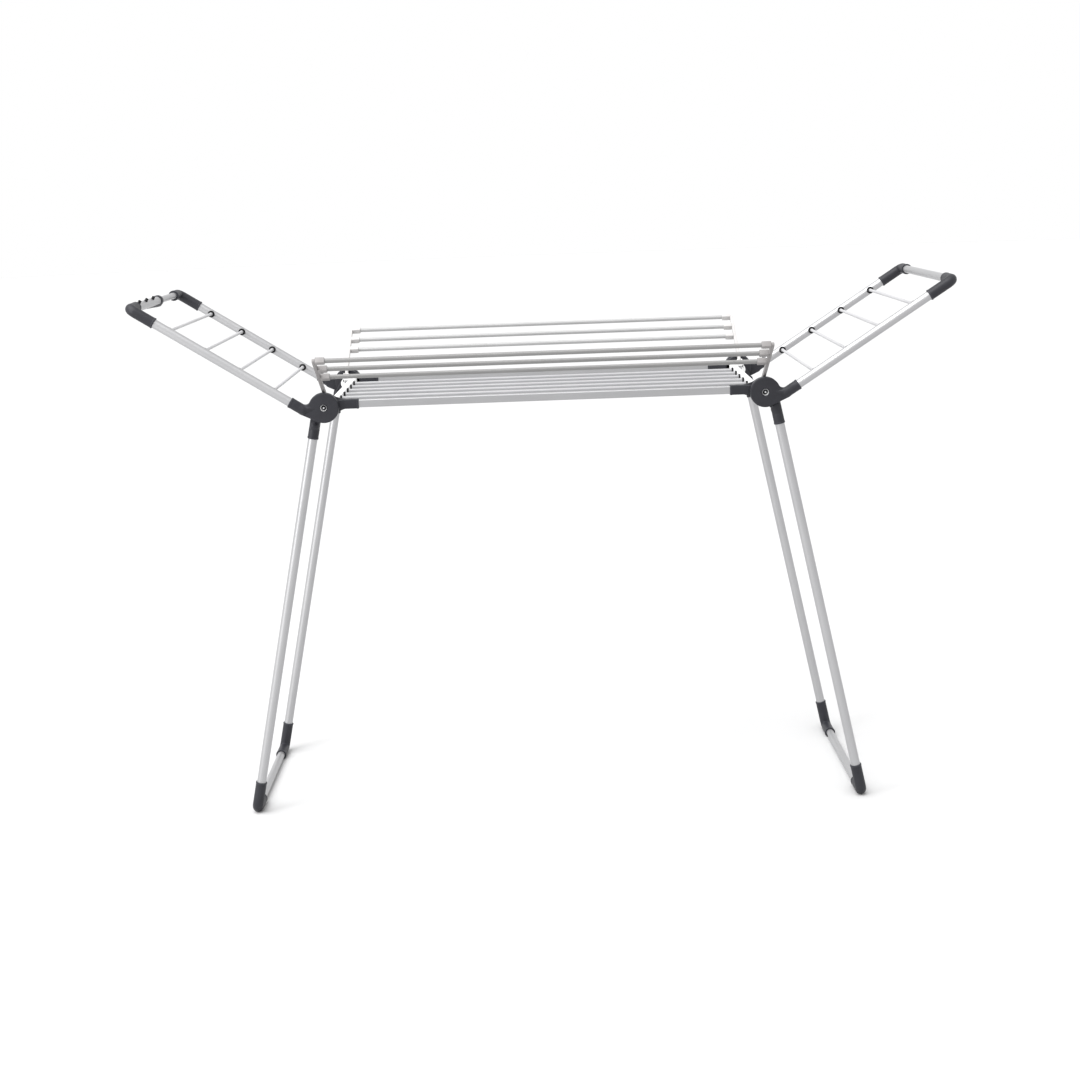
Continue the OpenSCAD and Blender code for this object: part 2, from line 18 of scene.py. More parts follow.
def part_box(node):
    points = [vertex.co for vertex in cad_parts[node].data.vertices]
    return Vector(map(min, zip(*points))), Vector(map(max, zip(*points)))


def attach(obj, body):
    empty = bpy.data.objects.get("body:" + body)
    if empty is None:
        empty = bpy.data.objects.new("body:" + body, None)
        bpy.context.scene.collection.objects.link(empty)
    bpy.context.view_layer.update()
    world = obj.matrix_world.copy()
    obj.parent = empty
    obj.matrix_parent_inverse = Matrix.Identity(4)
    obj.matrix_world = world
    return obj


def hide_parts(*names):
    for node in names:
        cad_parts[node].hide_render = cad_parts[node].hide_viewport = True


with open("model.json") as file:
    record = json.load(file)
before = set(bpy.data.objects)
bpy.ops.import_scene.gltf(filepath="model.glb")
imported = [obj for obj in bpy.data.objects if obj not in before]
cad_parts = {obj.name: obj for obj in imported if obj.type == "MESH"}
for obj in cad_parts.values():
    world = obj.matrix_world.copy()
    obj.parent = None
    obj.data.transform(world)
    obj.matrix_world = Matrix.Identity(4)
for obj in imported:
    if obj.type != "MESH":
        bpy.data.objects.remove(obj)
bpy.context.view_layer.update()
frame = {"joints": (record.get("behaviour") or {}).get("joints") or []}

# %% [markdown]
# ## Sizes
# The hinges of the frame say where the hubs are. The other sizes belong to the pieces and are given in
# millimetres, because a maker thinks of a 20 mm tube and not of 0.02 m. Every shape below is drawn in
# millimetres in the frame of its own limb, and is turned into metres only when it becomes an object.

# %% Where the hubs and the rack pins are
MM = 0.001
PLACE = {j["name"]: j["pos_m"] for j in frame["joints"]}
HUB_X = PLACE["right_wing_fold"][0] / MM
HUB_Z = PLACE["right_wing_fold"][2] / MM
HUB_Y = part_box("wing_connector_br")[0].y / MM
PIN_Y = PLACE["back_rack_fold"][1] / MM
PIN_Z = PLACE["back_rack_fold"][2] / MM - HUB_Z
print("hub axes at x", round(HUB_X, 1), "and height", round(HUB_Z, 1), "mm")

# %% Angles of the limbs when the rack stands open
WING_ANGLE = math.radians(32.7)
LEG_SPLAY = math.radians(12)
RACK_LEAN = math.radians(29.5)

# %% Sizes of the tubes and rods
WING_R, LEG_R, FLOOR_R, END_R, HANGER_BAR_R = 10, 10.5, 9, 9, 7.5
ROD_R, WING_ROD_R, RACK_ROD_R = 4, 3.5, 5
WING_L, WING_DROP, WING_Y = 467, 27, 260
LEG_OFF, LEG_Y = 17.5, {-1: 221.5, 1: 244}
FOOT_AXIS = 11.7
LEG_L = (HUB_Z + LEG_OFF * math.sin(LEG_SPLAY) - FOOT_AXIS) / math.cos(LEG_SPLAY)
RAIL_Y, RAIL_UP, ROD_UP = 242, 5, 6
BAR_X, BAR_END, BAR_UP = 469, 200, 3
TUBE_WALL, BOLT_HOLE_R = 1.2, 4.05
REACH, PITCH = 201, 43
print("leg from hub to floor bar:", round(LEG_L, 1), "mm")

# %% Limb frames: each turns a limb's own millimetres into the room's metres
def corner(side, face):
    """Mirrors the back right corner to any other: side -1 is left, face -1 is front."""
    return Matrix.Diagonal((side, face, 1, 1))


def at_hub(side, face, turn=0.0):
    """Origin on the hub's axis, with +X pointing outwards."""
    shift = Matrix.Translation((HUB_X, 0, HUB_Z))
    return Matrix.Scale(MM, 4) @ corner(side, face) @ shift @ Matrix.Rotation(turn, 4, "Y")


def on_wing(side, face):
    """+X runs up along the wing."""
    return at_hub(side, face, -WING_ANGLE)


def on_leg(side, face):
    """-Z runs down along the leg, +X points outwards."""
    return at_hub(side, face, -LEG_SPLAY)


def on_rack(face):
    """+Y runs up along the arms of a side rack."""
    shift = Matrix.Translation((0, PIN_Y, HUB_Z + PIN_Z))
    return Matrix.Scale(MM, 4) @ corner(1, face) @ shift @ Matrix.Rotation(RACK_LEAN, 4, "X")


def in_room(side):
    """The room's own axes, in millimetres, mirrored on the left."""
    return Matrix.Scale(MM, 4) @ corner(side, 1)


CORNERS = {"fl": (-1, -1), "fr": (1, -1), "bl": (-1, 1), "br": (1, 1)}
WING_BODY = {-1: "left_wing", 1: "right_wing"}
LEG_BODY = {-1: "left_legs", 1: "right_legs"}
RACK_BODY = {-1: "front_rack", 1: "back_rack"}

# %% [markdown]
# ## Shells
# A shell is a list of points and a list of faces. Nearly everything on the rack is a row of rings
# joined by faces: a tube, a rod, a bent elbow or a washer. The same few helpers can therefore make
# most pieces, and small steps in the rings give the chamfers and rolled edges that catch the light.

# %% Rings that are joined into a shell
def skin(rings, loop=False):
    """Joins equal rings of points by faces. The ends are closed by caps, or by joining last to first."""
    sides = len(rings[0])
    points = np.concatenate(rings)
    faces = []
    last = len(rings) if loop else len(rings) - 1
    for k in range(last):
        a = k * sides
        b = (k + 1) % len(rings) * sides
        for i in range(sides):
            j = (i + 1) % sides
            faces.append((a + i, a + j, b + j, b + i))
    if not loop:
        faces.append(tuple(range(sides))[::-1])
        faces.append(tuple(range((len(rings) - 1) * sides, len(rings) * sides)))
    return points, faces


def circle(radius, sides):
    """Points of a round ring in the plane, counter-clockwise."""
    angle = np.arange(sides) * 2 * math.pi / sides
    return np.stack([np.cos(angle), np.sin(angle)], axis=1) * radius


def turned(profile, sides=40, axis="z", centre=(0, 0, 0)):
    """Turns a profile of (radius, height) pairs round an axis, as on a lathe."""
    rings = []
    for radius, height in profile:
        ring = circle(radius, sides)
        flat = np.full(sides, height)
        order = {"z": (ring[:, 0], ring[:, 1], flat),
                 "y": (ring[:, 1], flat, ring[:, 0]),
                 "x": (flat, ring[:, 0], ring[:, 1])}[axis]
        rings.append(np.stack(order, axis=1) + np.array(centre, float))
    return skin(rings)


def turned_ring(profile, sides=40, axis="z", centre=(0, 0, 0)):
    """As turned(), but the profile is a closed outline, which makes a ring or a tube."""
    points, faces = turned(profile, sides, axis, centre)
    faces = faces[:-2]
    last = (len(profile) - 1) * sides
    for i in range(sides):
        j = (i + 1) % sides
        faces.append((last + i, last + j, j, i))
    return points, faces


def joined(*shells):
    """Several shells as one."""
    points, faces, start = [], [], 0
    for some, more in shells:
        points.append(some)
        faces += [tuple(i + start for i in f) for f in more]
        start += len(some)
    return np.concatenate(points), faces


def moved(shell, matrix):
    """A shell in another frame. A mirroring frame turns the faces round again."""
    points, faces = shell
    m = np.array(matrix)
    points = points @ m[:3, :3].T + m[:3, 3]
    if matrix.to_3x3().determinant() < 0:
        faces = [f[::-1] for f in faces]
    return points, faces

# %% [markdown]
# ## From shell to piece
# A piece needs its faces pointing outwards, smooth shading with crisp edges where the surface really
# turns, a finish, and a body to ride on. Straight tubes keep a frame of their own with Z along the
# tube, so that a finish can draw its fine lines lengthwise. All other pieces lie in the room's frame.

# %% Make an object, finish it and hand it to its body
MADE = []
CRISP = math.radians(32)


def placed(name, data):
    """A new object in the scene."""
    made = bpy.data.objects.new(name, data)
    bpy.context.scene.collection.objects.link(made)
    return made


def as_mesh(name, shell):
    data = bpy.data.meshes.new(name)
    points, faces = shell
    data.from_pydata([tuple(p) for p in points], [], [list(f) for f in faces])
    work = bmesh.new()
    work.from_mesh(data)
    bmesh.ops.remove_doubles(work, verts=work.verts, dist=1e-7)
    bmesh.ops.recalc_face_normals(work, faces=work.faces)
    work.to_mesh(data)
    work.free()
    return data


def piece(name, shell, body, finish, nodes, own=None):
    """own is the piece's own frame in metres; without it the shell is already in the room's metres."""
    made = placed(name, as_mesh(name, shell))
    if own is not None:
        made.matrix_world = own
    made.data.shade_smooth()
    made.data.set_sharp_from_angle(angle=CRISP)
    made.data.materials.append(finish)
    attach(made, body)
    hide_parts(*nodes)
    MADE.append(made)
    return made


def along(start, end):
    """A frame in metres at start, with Z pointing to end, and the length between them."""
    a, b = Vector(start), Vector(end)
    turn = (b - a).to_track_quat("Z", "Y").to_matrix().to_4x4()
    return Matrix.Translation(a) @ turn, (b - a).length


def tube(name, start, end, radius, wall, body, finish, nodes, sides=48):
    """A drawn tube with broken edges, from one point in metres to another."""
    own, length = along(start, end)
    r, w, n = radius * MM, wall * MM, 0.3 * MM
    outline = [(r - n, 0), (r, n), (r, length * 0.33), (r, length * 0.67), (r, length - n), (r - n, length)]
    if wall:
        outline += [(r - w, length), (r - w, length * 0.5), (r - w, 0)]
        shell = turned_ring(outline, sides)
    else:
        shell = turned(outline, sides)
    return piece(name, shell, body, finish, nodes, own)

# %% [markdown]
# ## Cutting
# Sockets and recesses are cut with a boolean, which works on whole objects. The helper makes two
# objects for a moment, reads the cut mesh back as a shell and clears up after itself.

# %% Take one shape out of another
def cut(shell, *tools):
    """The shell without the tools. It goes through Blender's exact boolean."""
    shown = []
    for k, some in enumerate((shell, *tools)):
        shown.append(placed("cutting_%d" % k, as_mesh("cutting_%d" % k, some)))
    for tool in shown[1:]:
        step = shown[0].modifiers.new("cut", "BOOLEAN")
        step.operation = "DIFFERENCE"
        step.solver = "EXACT"
        step.object = tool
    bpy.context.view_layer.update()
    ready = shown[0].evaluated_get(bpy.context.evaluated_depsgraph_get())
    mesh = ready.to_mesh()
    points = np.array([v.co for v in mesh.vertices], float).reshape(-1, 3)
    faces = [tuple(f.vertices) for f in mesh.polygons]
    ready.to_mesh_clear()
    for made in shown:
        data = made.data
        bpy.data.objects.remove(made)
        bpy.data.meshes.remove(data)
    return points, faces

# %% [markdown]
# ## Shader maths in Python
# A finish is a small calculation: a noise, scaled and added to a base value. Written as nodes it takes
# a page; written as Python it takes a line. The class below wraps one output of a node, and its
# operators add the Math nodes. The recipe class adds any other node from its type and settings.

# %% A socket that can be used in arithmetic
class Value:
    """One output of a node in a recipe."""

    def __init__(self, recipe, socket):
        self.recipe = recipe
        self.socket = socket

    def _math(self, operation, first, second):
        return self.recipe.node("ShaderNodeMath", {"operation": operation}, {0: first, 1: second})

    def __add__(self, other):
        return self._math("ADD", self, other)

    def __radd__(self, other):
        return self._math("ADD", other, self)

    def __sub__(self, other):
        return self._math("SUBTRACT", self, other)

    def __rsub__(self, other):
        return self._math("SUBTRACT", other, self)

    def __mul__(self, other):
        return self._math("MULTIPLY", self, other)

    def __rmul__(self, other):
        return self._math("MULTIPLY", other, self)


# %% A recipe: one material and the nodes that it needs
class Recipe:
    """Writes a material. Settings of a node are set before its sockets."""

    def __init__(self, name):
        self.material = bpy.data.materials.new(name)
        self.material.use_nodes = True
        self.tree = self.material.node_tree
        self.shader = self.tree.nodes["Principled BSDF"]
        self.here = self.node("ShaderNodeTexCoord", {}, {}, "Object")

    def node(self, kind, settings, sockets, out=0):
        made = self.tree.nodes.new(kind)
        for key, value in settings.items():
            if key == "stops":
                ramp = made.color_ramp.elements
                for mark, (position, shade) in zip(ramp, value):
                    mark.position = position
                    mark.color = shade
            else:
                setattr(made, key, value)
        for key, value in sockets.items():
            self.put(made.inputs[key], value)
        return Value(self, made.outputs[out])

    def put(self, socket, value):
        if isinstance(value, Value):
            self.tree.links.new(value.socket, socket)
        else:
            socket.default_value = value

    def stretch(self, scale):
        """The place on the object, multiplied by a scale for each axis."""
        return self.node("ShaderNodeVectorMath", {"operation": "MULTIPLY"}, {0: self.here, 1: scale})

    def noise(self, scale, detail=3.0, rough=0.55, place=None):
        sockets = {"Vector": place or self.here, "Scale": scale, "Detail": detail, "Roughness": rough}
        return self.node("ShaderNodeTexNoise", {}, sockets)

    def ramp(self, value, low, high):
        """0 below low, 1 above high and a straight line between."""
        stops = [(low, (0, 0, 0, 1)), (high, (1, 1, 1, 1))]
        return self.node("ShaderNodeValToRGB", {"stops": stops}, {0: value})

    def colours(self, factor, first, second):
        sockets = {0: factor, 6: (*first, 1), 7: (*second, 1)}
        return self.node("ShaderNodeMix", {"data_type": "RGBA"}, sockets, 2)

    def relief(self, height, strength, distance):
        sockets = {"Height": height, "Strength": strength, "Distance": distance}
        return self.node("ShaderNodeBump", {}, sockets)

    def surface(self, sockets):
        for key, value in sockets.items():
            self.put(self.shader.inputs[key], value)
        return self.material

# %% [markdown]
# ## Finish: satin aluminium
# The tubes are drawn aluminium with a clear anodised skin. Drawing leaves fine lines along the tube,
# and anodising makes the metal satin, a little milky and slightly uneven in tone. A noise stretched
# along Z gives the lines, a broad one gives the tone, and rare rubbed spots are a little shinier.

# %% Satin aluminium
def satin_aluminium(name, dark, light):
    r = Recipe(name)
    lines = r.noise(1.0, 4.0, 0.6, r.stretch((2600, 2600, 9)))
    tone = r.noise(7.0, 2.0)
    rubbed = r.ramp(r.noise(38.0, 5.0, 0.7), 0.62, 0.75)
    tint = r.colours(lines * 0.45 + tone * 0.55, dark, light)
    rough = 0.34 + lines * 0.14 + tone * 0.05 - rubbed * 0.08
    return r.surface({
        "Base Color": tint,
        "Metallic": 0.8,
        "Roughness": rough,
        "Normal": r.relief(lines, 0.12, 0.0002),
    })


ALUMINIUM = satin_aluminium("satin_aluminium", (0.36, 0.36, 0.37), (0.48, 0.48, 0.485))
RAIL_METAL = satin_aluminium("rail_aluminium", (0.33, 0.33, 0.34), (0.43, 0.43, 0.435))
print("aluminium finishes:", ALUMINIUM.name, RAIL_METAL.name)

# %% [markdown]
# ## Finish: anthracite plastic
# The connectors and elbows are injection moulded in dark grey, from a mould with a fine matt grain.
# Hands and the floor polish the raised edges, so they turn a touch lighter and smoother. The grain is
# a fine noise for the bump. The edges come from how sharply the mesh turns at each point.

# %% Anthracite plastic
def moulded_plastic(name, dark, light, rough, grain=0.25):
    r = Recipe(name)
    fine = r.noise(1500.0, 2.0, 0.6)
    cloud = r.noise(22.0, 4.0, 0.6)
    turn = r.node("ShaderNodeNewGeometry", {}, {}, "Pointiness")
    edge = r.ramp(turn, 0.515, 0.58) * 0.5
    tint = r.colours(cloud * 0.5 + fine * 0.25 + edge * 0.6, dark, light)
    return r.surface({
        "Base Color": tint,
        "Roughness": rough + fine * 0.1 + cloud * 0.08 - edge * 0.1,
        "Specular IOR Level": 0.3,
        "Normal": r.relief(fine, grain, 0.0004),
    })


ANTHRACITE = moulded_plastic("anthracite_plastic", (0.008, 0.008, 0.011), (0.037, 0.038, 0.046), 0.4)
WHITE_PLASTIC = moulded_plastic("white_plastic", (0.66, 0.66, 0.66), (0.8, 0.8, 0.8), 0.4, 0.1)
# The front rack's plastic is a darker copy of the back rack's: painted shade.
RACK_PLASTIC = {-1: moulded_plastic("front_rack_plastic_painted_shade", (0.2, 0.19, 0.188), (0.3, 0.29, 0.288), 0.42, 0.12),
                1: moulded_plastic("back_rack_plastic", (0.4, 0.39, 0.385), (0.56, 0.55, 0.545), 0.4, 0.12)}
print("plastic finishes:", ANTHRACITE.name, WHITE_PLASTIC.name, [m.name for m in RACK_PLASTIC.values()])

# %% [markdown]
# ## Finish: powder coat
# The drying rods are steel wire under a baked powder coat. It has a faint orange peel, and where pegs
# and wet cloth have rubbed for years the gloss changes in short strokes along the rod.

# %% Powder coat
def powder_coat(name, dark, light):
    r = Recipe(name)
    peel = r.noise(620.0, 1.0)
    strokes = r.ramp(r.noise(1.0, 3.0, 0.6, r.stretch((900, 900, 60))), 0.55, 0.75)
    tone = r.noise(9.0, 3.0)
    return r.surface({
        "Base Color": r.colours(tone * 0.7 + strokes * 0.3, dark, light),
        "Roughness": 0.38 + strokes * 0.12 + peel * 0.05,
        "Coat Weight": 0.25 - strokes * 0.2,
        "Coat Roughness": 0.2,
        "Normal": r.relief(peel, 0.18, 0.0003),
    })


ROD_COAT = powder_coat("rod_coat", (0.27, 0.27, 0.28), (0.37, 0.37, 0.38))
WHITE_COAT = powder_coat("white_coat", (0.68, 0.68, 0.69), (0.8, 0.8, 0.81))
THIN_COAT = powder_coat("thin_rod_coat", (0.36, 0.36, 0.37), (0.46, 0.46, 0.47))
# The front rack's rods get a darker copy of the back rack's coat: painted shade.
RACK_COAT = {-1: powder_coat("front_rack_coat_painted_shade", (0.16, 0.158, 0.156), (0.23, 0.228, 0.226)),
             1: powder_coat("back_rack_coat", (0.3, 0.3, 0.3), (0.4, 0.4, 0.4))}
print("powder coats:", ROD_COAT.name, WHITE_COAT.name, THIN_COAT.name, [m.name for m in RACK_COAT.values()])

# %% [markdown]
# ## Finish: steel and rubber
# Bolts, nuts and pins are zinc plated: bright, with small soft spangles. The grommets and the caps on
# the rods are black rubber, matt and slightly dusty.

# %% Zinc plated steel and black rubber
def zinc_steel(name):
    r = Recipe(name)
    spangle = r.node("ShaderNodeTexVoronoi", {"feature": "SMOOTH_F1"}, {"Vector": r.here, "Scale": 700.0})
    scuff = r.noise(260.0, 5.0, 0.7)
    return r.surface({
        "Base Color": r.colours(spangle * 0.6 + scuff * 0.4, (0.55, 0.56, 0.58), (0.78, 0.78, 0.79)),
        "Metallic": 1.0,
        "Roughness": 0.2 + scuff * 0.2,
        "Normal": r.relief(scuff, 0.1, 0.0002),
    })


def black_rubber(name):
    r = Recipe(name)
    grain = r.noise(1300.0, 3.0, 0.6)
    dust = r.ramp(r.noise(120.0, 4.0, 0.6), 0.5, 0.8)
    return r.surface({
        "Base Color": r.colours(dust, (0.005, 0.005, 0.006), (0.018, 0.018, 0.019)),
        "Roughness": 0.55 + grain * 0.2,
        "Specular IOR Level": 0.2,
        "Normal": r.relief(grain, 0.25, 0.0003),
    })


STEEL = zinc_steel("zinc_steel")
# A black finish for the floor of the bolt's socket: painted shade in the recess.
SHADED = black_rubber("painted_shade_socket_floor")
RUBBER = black_rubber("black_rubber")
print("hardware finishes:", STEEL.name, RUBBER.name)

# %% [markdown]
# ## The rails
# Two flat tubes with rounded corners carry the centre frame. A rounded rectangle is drawn once and
# swept along the tube; the inner outline makes it hollow, and the ends are slightly broken.

# %% A rounded rectangle and the tube that is drawn from it
def rounded(width, height, radius, steps=5):
    """Outline of a rectangle with round corners, counter-clockwise, centred."""
    points = []
    for k, (sx, sy) in enumerate([(1, 1), (-1, 1), (-1, -1), (1, -1)]):
        cx = sx * (width / 2 - radius)
        cy = sy * (height / 2 - radius)
        for i in range(steps + 1):
            a = math.pi / 2 * (k + i / steps)
            points.append((cx + radius * math.cos(a), cy + radius * math.sin(a)))
    return np.array(points)


def drawn_section(outer, inner, stations):
    """A hollow bar along Z from outlines in XY; stations are (height, inset) pairs."""
    middle = outer.mean(axis=0)
    rings = []
    for height, inset in stations:
        span = np.abs(outer - middle).max(axis=0)
        ring = middle + (outer - middle) * (1 - inset / span)
        rings.append(np.column_stack([ring, np.full(len(ring), height)]))
    for height in (stations[-1][0], stations[0][0]):
        rings.append(np.column_stack([inner, np.full(len(inner), height)]))
    return skin(rings, loop=True)


def flat_tube(name, start, end, thick, high, radius, wall, finish, slot, nodes):
    """A flat tube of the centre frame, thick across the floor and high upwards."""
    own, length = along(start, end)
    upright = abs(own.col[0].z) > 0.5
    w, h = (high, thick) if upright else (thick, high)
    outer = rounded(w, h, radius) * MM
    inner = rounded(w - 2 * wall, h - 2 * wall, radius / 2) * MM
    n = 0.3 * MM
    stations = [(0, n), (n, 0), (length / 2, 0), (length - n, 0), (length, n)]
    shell = drawn_section(outer, inner, stations)
    return piece(name, shell, "centre_frame", finish, nodes, own)


# %% Two rails
def rail(side):
    word = "front" if side < 0 else "back"
    z = (HUB_Z + RAIL_UP) * MM
    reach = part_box(word + "_rail")[1].x
    ends = [(x, side * RAIL_Y * MM, z) for x in (-reach, reach)]
    return flat_tube(word + "_rail_tube", *ends, 12, 17, 2.2, TUBE_WALL, RAIL_METAL, "aluminium_tube",
                     [word + "_rail"])


RAILS = [rail(side) for side in (-1, 1)]
print("rails:", [round(r.dimensions.z, 3) for r in RAILS], "m long")

# %% [markdown]
# ## The drying rods
# Five coated rods lie between the rails. Each is a long solid bar with a rounded end, which sits in
# the white crossbar. A black cap with a rolled edge closes the hole round the rod on the inner side.

# %% Five rods and ten caps
ROD_PITCH = 70.5
ROD_END, CAP_X = 474.5, 457


def centre_rod(i):
    y = (i - 2) * ROD_PITCH * MM
    z = (HUB_Z + ROD_UP) * MM
    return tube("drying_rod_%d" % (i + 1), (-ROD_END * MM, y, z), (ROD_END * MM, y, z), ROD_R, 0,
                "centre_frame", ROD_COAT, ["centre_rod_%d" % (i + 1)], 32)


CAP = [(4.05, 4), (4.05, 0.6), (4.5, 0), (5.4, 0.1), (6.0, 0.9), (6.1, 2.0), (6.0, 3.0), (6.4, 3.5), (6.3, 4)]


def rod_caps():
    shells = []
    for side in (-1, 1):
        for i in range(5):
            centre = (0, (i - 2) * ROD_PITCH, HUB_Z + ROD_UP)
            ring = turned_ring([(r, CAP_X + h) for r, h in CAP], 28, "x", centre)
            shells.append(moved(ring, in_room(side)))
    return joined(*shells)


RODS = [centre_rod(i) for i in range(5)]
piece("drying_rod_caps", rod_caps(), "centre_frame", RUBBER, ["rod_caps"])
print("rods:", len(RODS), "of", round(RODS[0].dimensions.z, 3), "m")

# %% [markdown]
# ## Crossbars
# A white hollow bar joins the front hub to the back hub at each end of the rods. It is a rounded
# rectangular tube like the rail, but under a white powder coat.

# %% Two crossbars
def crossbar(side):
    word = "left" if side < 0 else "right"
    x, z = side * BAR_X * MM, (HUB_Z + BAR_UP) * MM
    ends = [(x, -BAR_END * MM, z), (x, BAR_END * MM, z)]
    return flat_tube(word + "_white_crossbar", *ends, 16, 18, 3, 1.5, WHITE_COAT, "white_paint",
                     [word + "_crossbar"])


BARS = [crossbar(side) for side in (-1, 1)]
print("crossbars:", len(BARS))

# %% [markdown]
# ## Plates with rounded edges
# The connector's disc, its webs, the cheeks of the bracket and the rack arms are all flat outlines
# with some thickness. A plate is drawn as rings: the outline is pulled inwards a little at both faces
# in a quarter circle, which gives the moulded edge its soft highlight.

# %% Outlines made of arcs, and the plate
def arc(cx, cy, radius, start, end, steps):
    """Points of an arc, with angles in degrees."""
    a = np.radians(np.linspace(start, end, steps + 1))
    return np.column_stack([cx + radius * np.cos(a), cy + radius * np.sin(a)])


def inset(outline, amount):
    """Pulls a counter-clockwise outline inwards along its own normals."""
    ahead = np.roll(outline, -1, axis=0)
    behind = np.roll(outline, 1, axis=0)
    edge_in = outline - behind
    edge_out = ahead - outline
    edge_in /= np.linalg.norm(edge_in, axis=1)[:, None] + 1e-9
    edge_out /= np.linalg.norm(edge_out, axis=1)[:, None] + 1e-9
    inward = np.column_stack([-(edge_in + edge_out)[:, 1], (edge_in + edge_out)[:, 0]])
    inward /= np.linalg.norm(inward, axis=1)[:, None] + 1e-9
    lean = np.clip((inward * np.column_stack([-edge_out[:, 1], edge_out[:, 0]])).sum(axis=1), 0.5, 1)
    return outline + inward * (amount / lean)[:, None]


def plate(outline, low, high, round_low, round_high, axis="y"):
    """An outline with thickness from low to high, and rounded edges at both faces."""
    rings = []
    quarter = np.linspace(0, math.pi / 2, 5)
    for a in quarter:
        rings.append((inset(outline, round_low * (1 - math.sin(a))), low + round_low * (1 - math.cos(a))))
    for a in quarter[::-1]:
        rings.append((inset(outline, round_high * (1 - math.sin(a))), high - round_high * (1 - math.cos(a))))
    solid = []
    for ring, height in rings:
        flat = np.full(len(ring), height)
        order = {"y": (ring[:, 0], flat, ring[:, 1]),
                 "x": (flat, ring[:, 0], ring[:, 1])}[axis]
        solid.append(np.stack(order, axis=1))
    return skin(solid)

# %% [markdown]
# ## Rail connectors
# Behind each wing's disc sits the connector that holds the rail: a disc round the hub bolt, a
# rectangular sleeve for the flat tube, and a thin web that curves from the disc to the sleeve above
# and below. The web lies deeper than the sleeve, so it reads as a dark hollow. A slot in the top of
# the disc lets the arm of the side rack swing past.

# %% Four rail connectors
RAIL_DISC_R, SLEEVE_END = 31, 76
WEB_R = {-1: 33, 1: 70}
SLEEVE_LOW, SLEEVE_HIGH = RAIL_UP - 10.5, RAIL_UP + 10.5
DISC_FRONT, DISC_BACK = 249.8, 234.2


def web_outline():
    """Disc, lower curve, sleeve, upper curve, with +X towards the rail."""
    def curve(level, side):
        bend = WEB_R[side]
        cz = level + side * bend
        cx = math.sqrt((RAIL_DISC_R + bend) ** 2 - cz * cz)
        touch = math.degrees(math.atan2(cz, cx))
        return cx, cz, touch
    lx, lz, low = curve(SLEEVE_LOW, -1)
    hx, hz, high = curve(SLEEVE_HIGH, 1)
    lower = arc(lx, lz, WEB_R[-1], low + 180, 90, 10)
    upper = arc(hx, hz, WEB_R[1], -90, high - 180, 10)
    disc = arc(0, 0, RAIL_DISC_R, high, low + 360, 44)[1:-1]
    end = np.array([(64, SLEEVE_LOW), (64, SLEEVE_HIGH)])
    return np.concatenate([lower, end, upper, disc])


def rail_connector():
    """The back right one, in the room's millimetres from its hub, with +X inwards."""
    notch = 6.5
    lip = math.degrees(math.asin(notch / RAIL_DISC_R))
    disc = np.concatenate([arc(0, 0, RAIL_DISC_R, 90 + lip, 450 - lip, 52), [(notch, 21), (-notch, 21)]])
    body = plate(disc, DISC_BACK, DISC_FRONT, 1.2, 1.8)
    web = web_outline()
    above = web[:, 1] > 19
    web[above & (np.abs(web[:, 0]) < notch + 0.5), 1] = 19
    wall = plate(web, DISC_BACK + 1.5, DISC_FRONT - 5.5, 0.8, 1.2)
    size = np.array([21, 15.6])
    outer = rounded(*size, 2.4)
    bore = rounded(17.2, 12.2, 2)
    rings = []
    stations = [(20, 0.0), (SLEEVE_END - 5, 0.0), (SLEEVE_END - 4.6, 0.45), (SLEEVE_END - 0.9, 0.45),
                (SLEEVE_END, -0.5)]
    for x, grow in stations:
        ring = outer * (1 + 2 * grow / size)
        rings.append(np.column_stack([np.full(len(ring), x), RAIL_Y + ring[:, 1], RAIL_UP + ring[:, 0]]))
    for x in (SLEEVE_END, SLEEVE_END - 34):
        rings.append(np.column_stack([np.full(len(bore), x), RAIL_Y + bore[:, 1], RAIL_UP + bore[:, 0]]))
    return joined(body, wall, skin(rings))


RAIL_SHELL = moved(rail_connector(), Matrix.Diagonal((-1, 1, 1, 1)))
for key, (side, face) in CORNERS.items():
    piece("rail_sleeve_" + key, moved(RAIL_SHELL, at_hub(side, face)), "centre_frame", ANTHRACITE,
          ["rail_connector_" + key])
print("rail connector:", len(RAIL_SHELL[0]), "points each")

# %% [markdown]
# ## Flowing shapes: a field and a net
# The wing connector flows from a disc through a bent neck into a round sleeve. Arcs and rings can't
# do that. Here the shape is a field instead: a function that gives the distance to the surface,
# negative inside. Two shapes merge softly by taking a smooth minimum. A net then finds the surface:
# each small cell that the surface crosses gets one point, and neighbouring cells are joined by faces.

# %% Fields that merge
def merge(a, b, soft):
    """The smaller of two distances, with a soft seam."""
    h = np.clip(0.5 + 0.5 * (b - a) / soft, 0, 1)
    return b + (a - b) * h - soft * h * (1 - h)


def capsule(p, a, b, radius_a, radius_b):
    """Distance to a rounded bar whose radius changes from a to b."""
    a, b = np.array(a, float), np.array(b, float)
    t = np.clip((p - a) @ (b - a) / ((b - a) @ (b - a)), 0, 1)
    return np.linalg.norm(p - a - t[:, None] * (b - a), axis=1) - radius_a - t * (radius_b - radius_a)


def outline_distance(x, z, outline):
    """Signed distance from points to a closed outline, negative inside."""
    best = np.full(len(x), 1e9)
    inside = np.zeros(len(x), bool)
    ahead = np.roll(outline, -1, axis=0)
    for (ax, az), (bx, bz) in zip(outline, ahead):
        ex, ez = bx - ax, bz - az
        t = np.clip(((x - ax) * ex + (z - az) * ez) / (ex * ex + ez * ez + 1e-12), 0, 1)
        best = np.minimum(best, (x - ax - t * ex) ** 2 + (z - az - t * ez) ** 2)
        if az != bz:
            crosses = (az > z) != (bz > z)
            inside ^= crosses & (x < (bx - ax) * (z - az) / (bz - az) + ax)
    return np.sqrt(best) * np.where(inside, -1, 1)


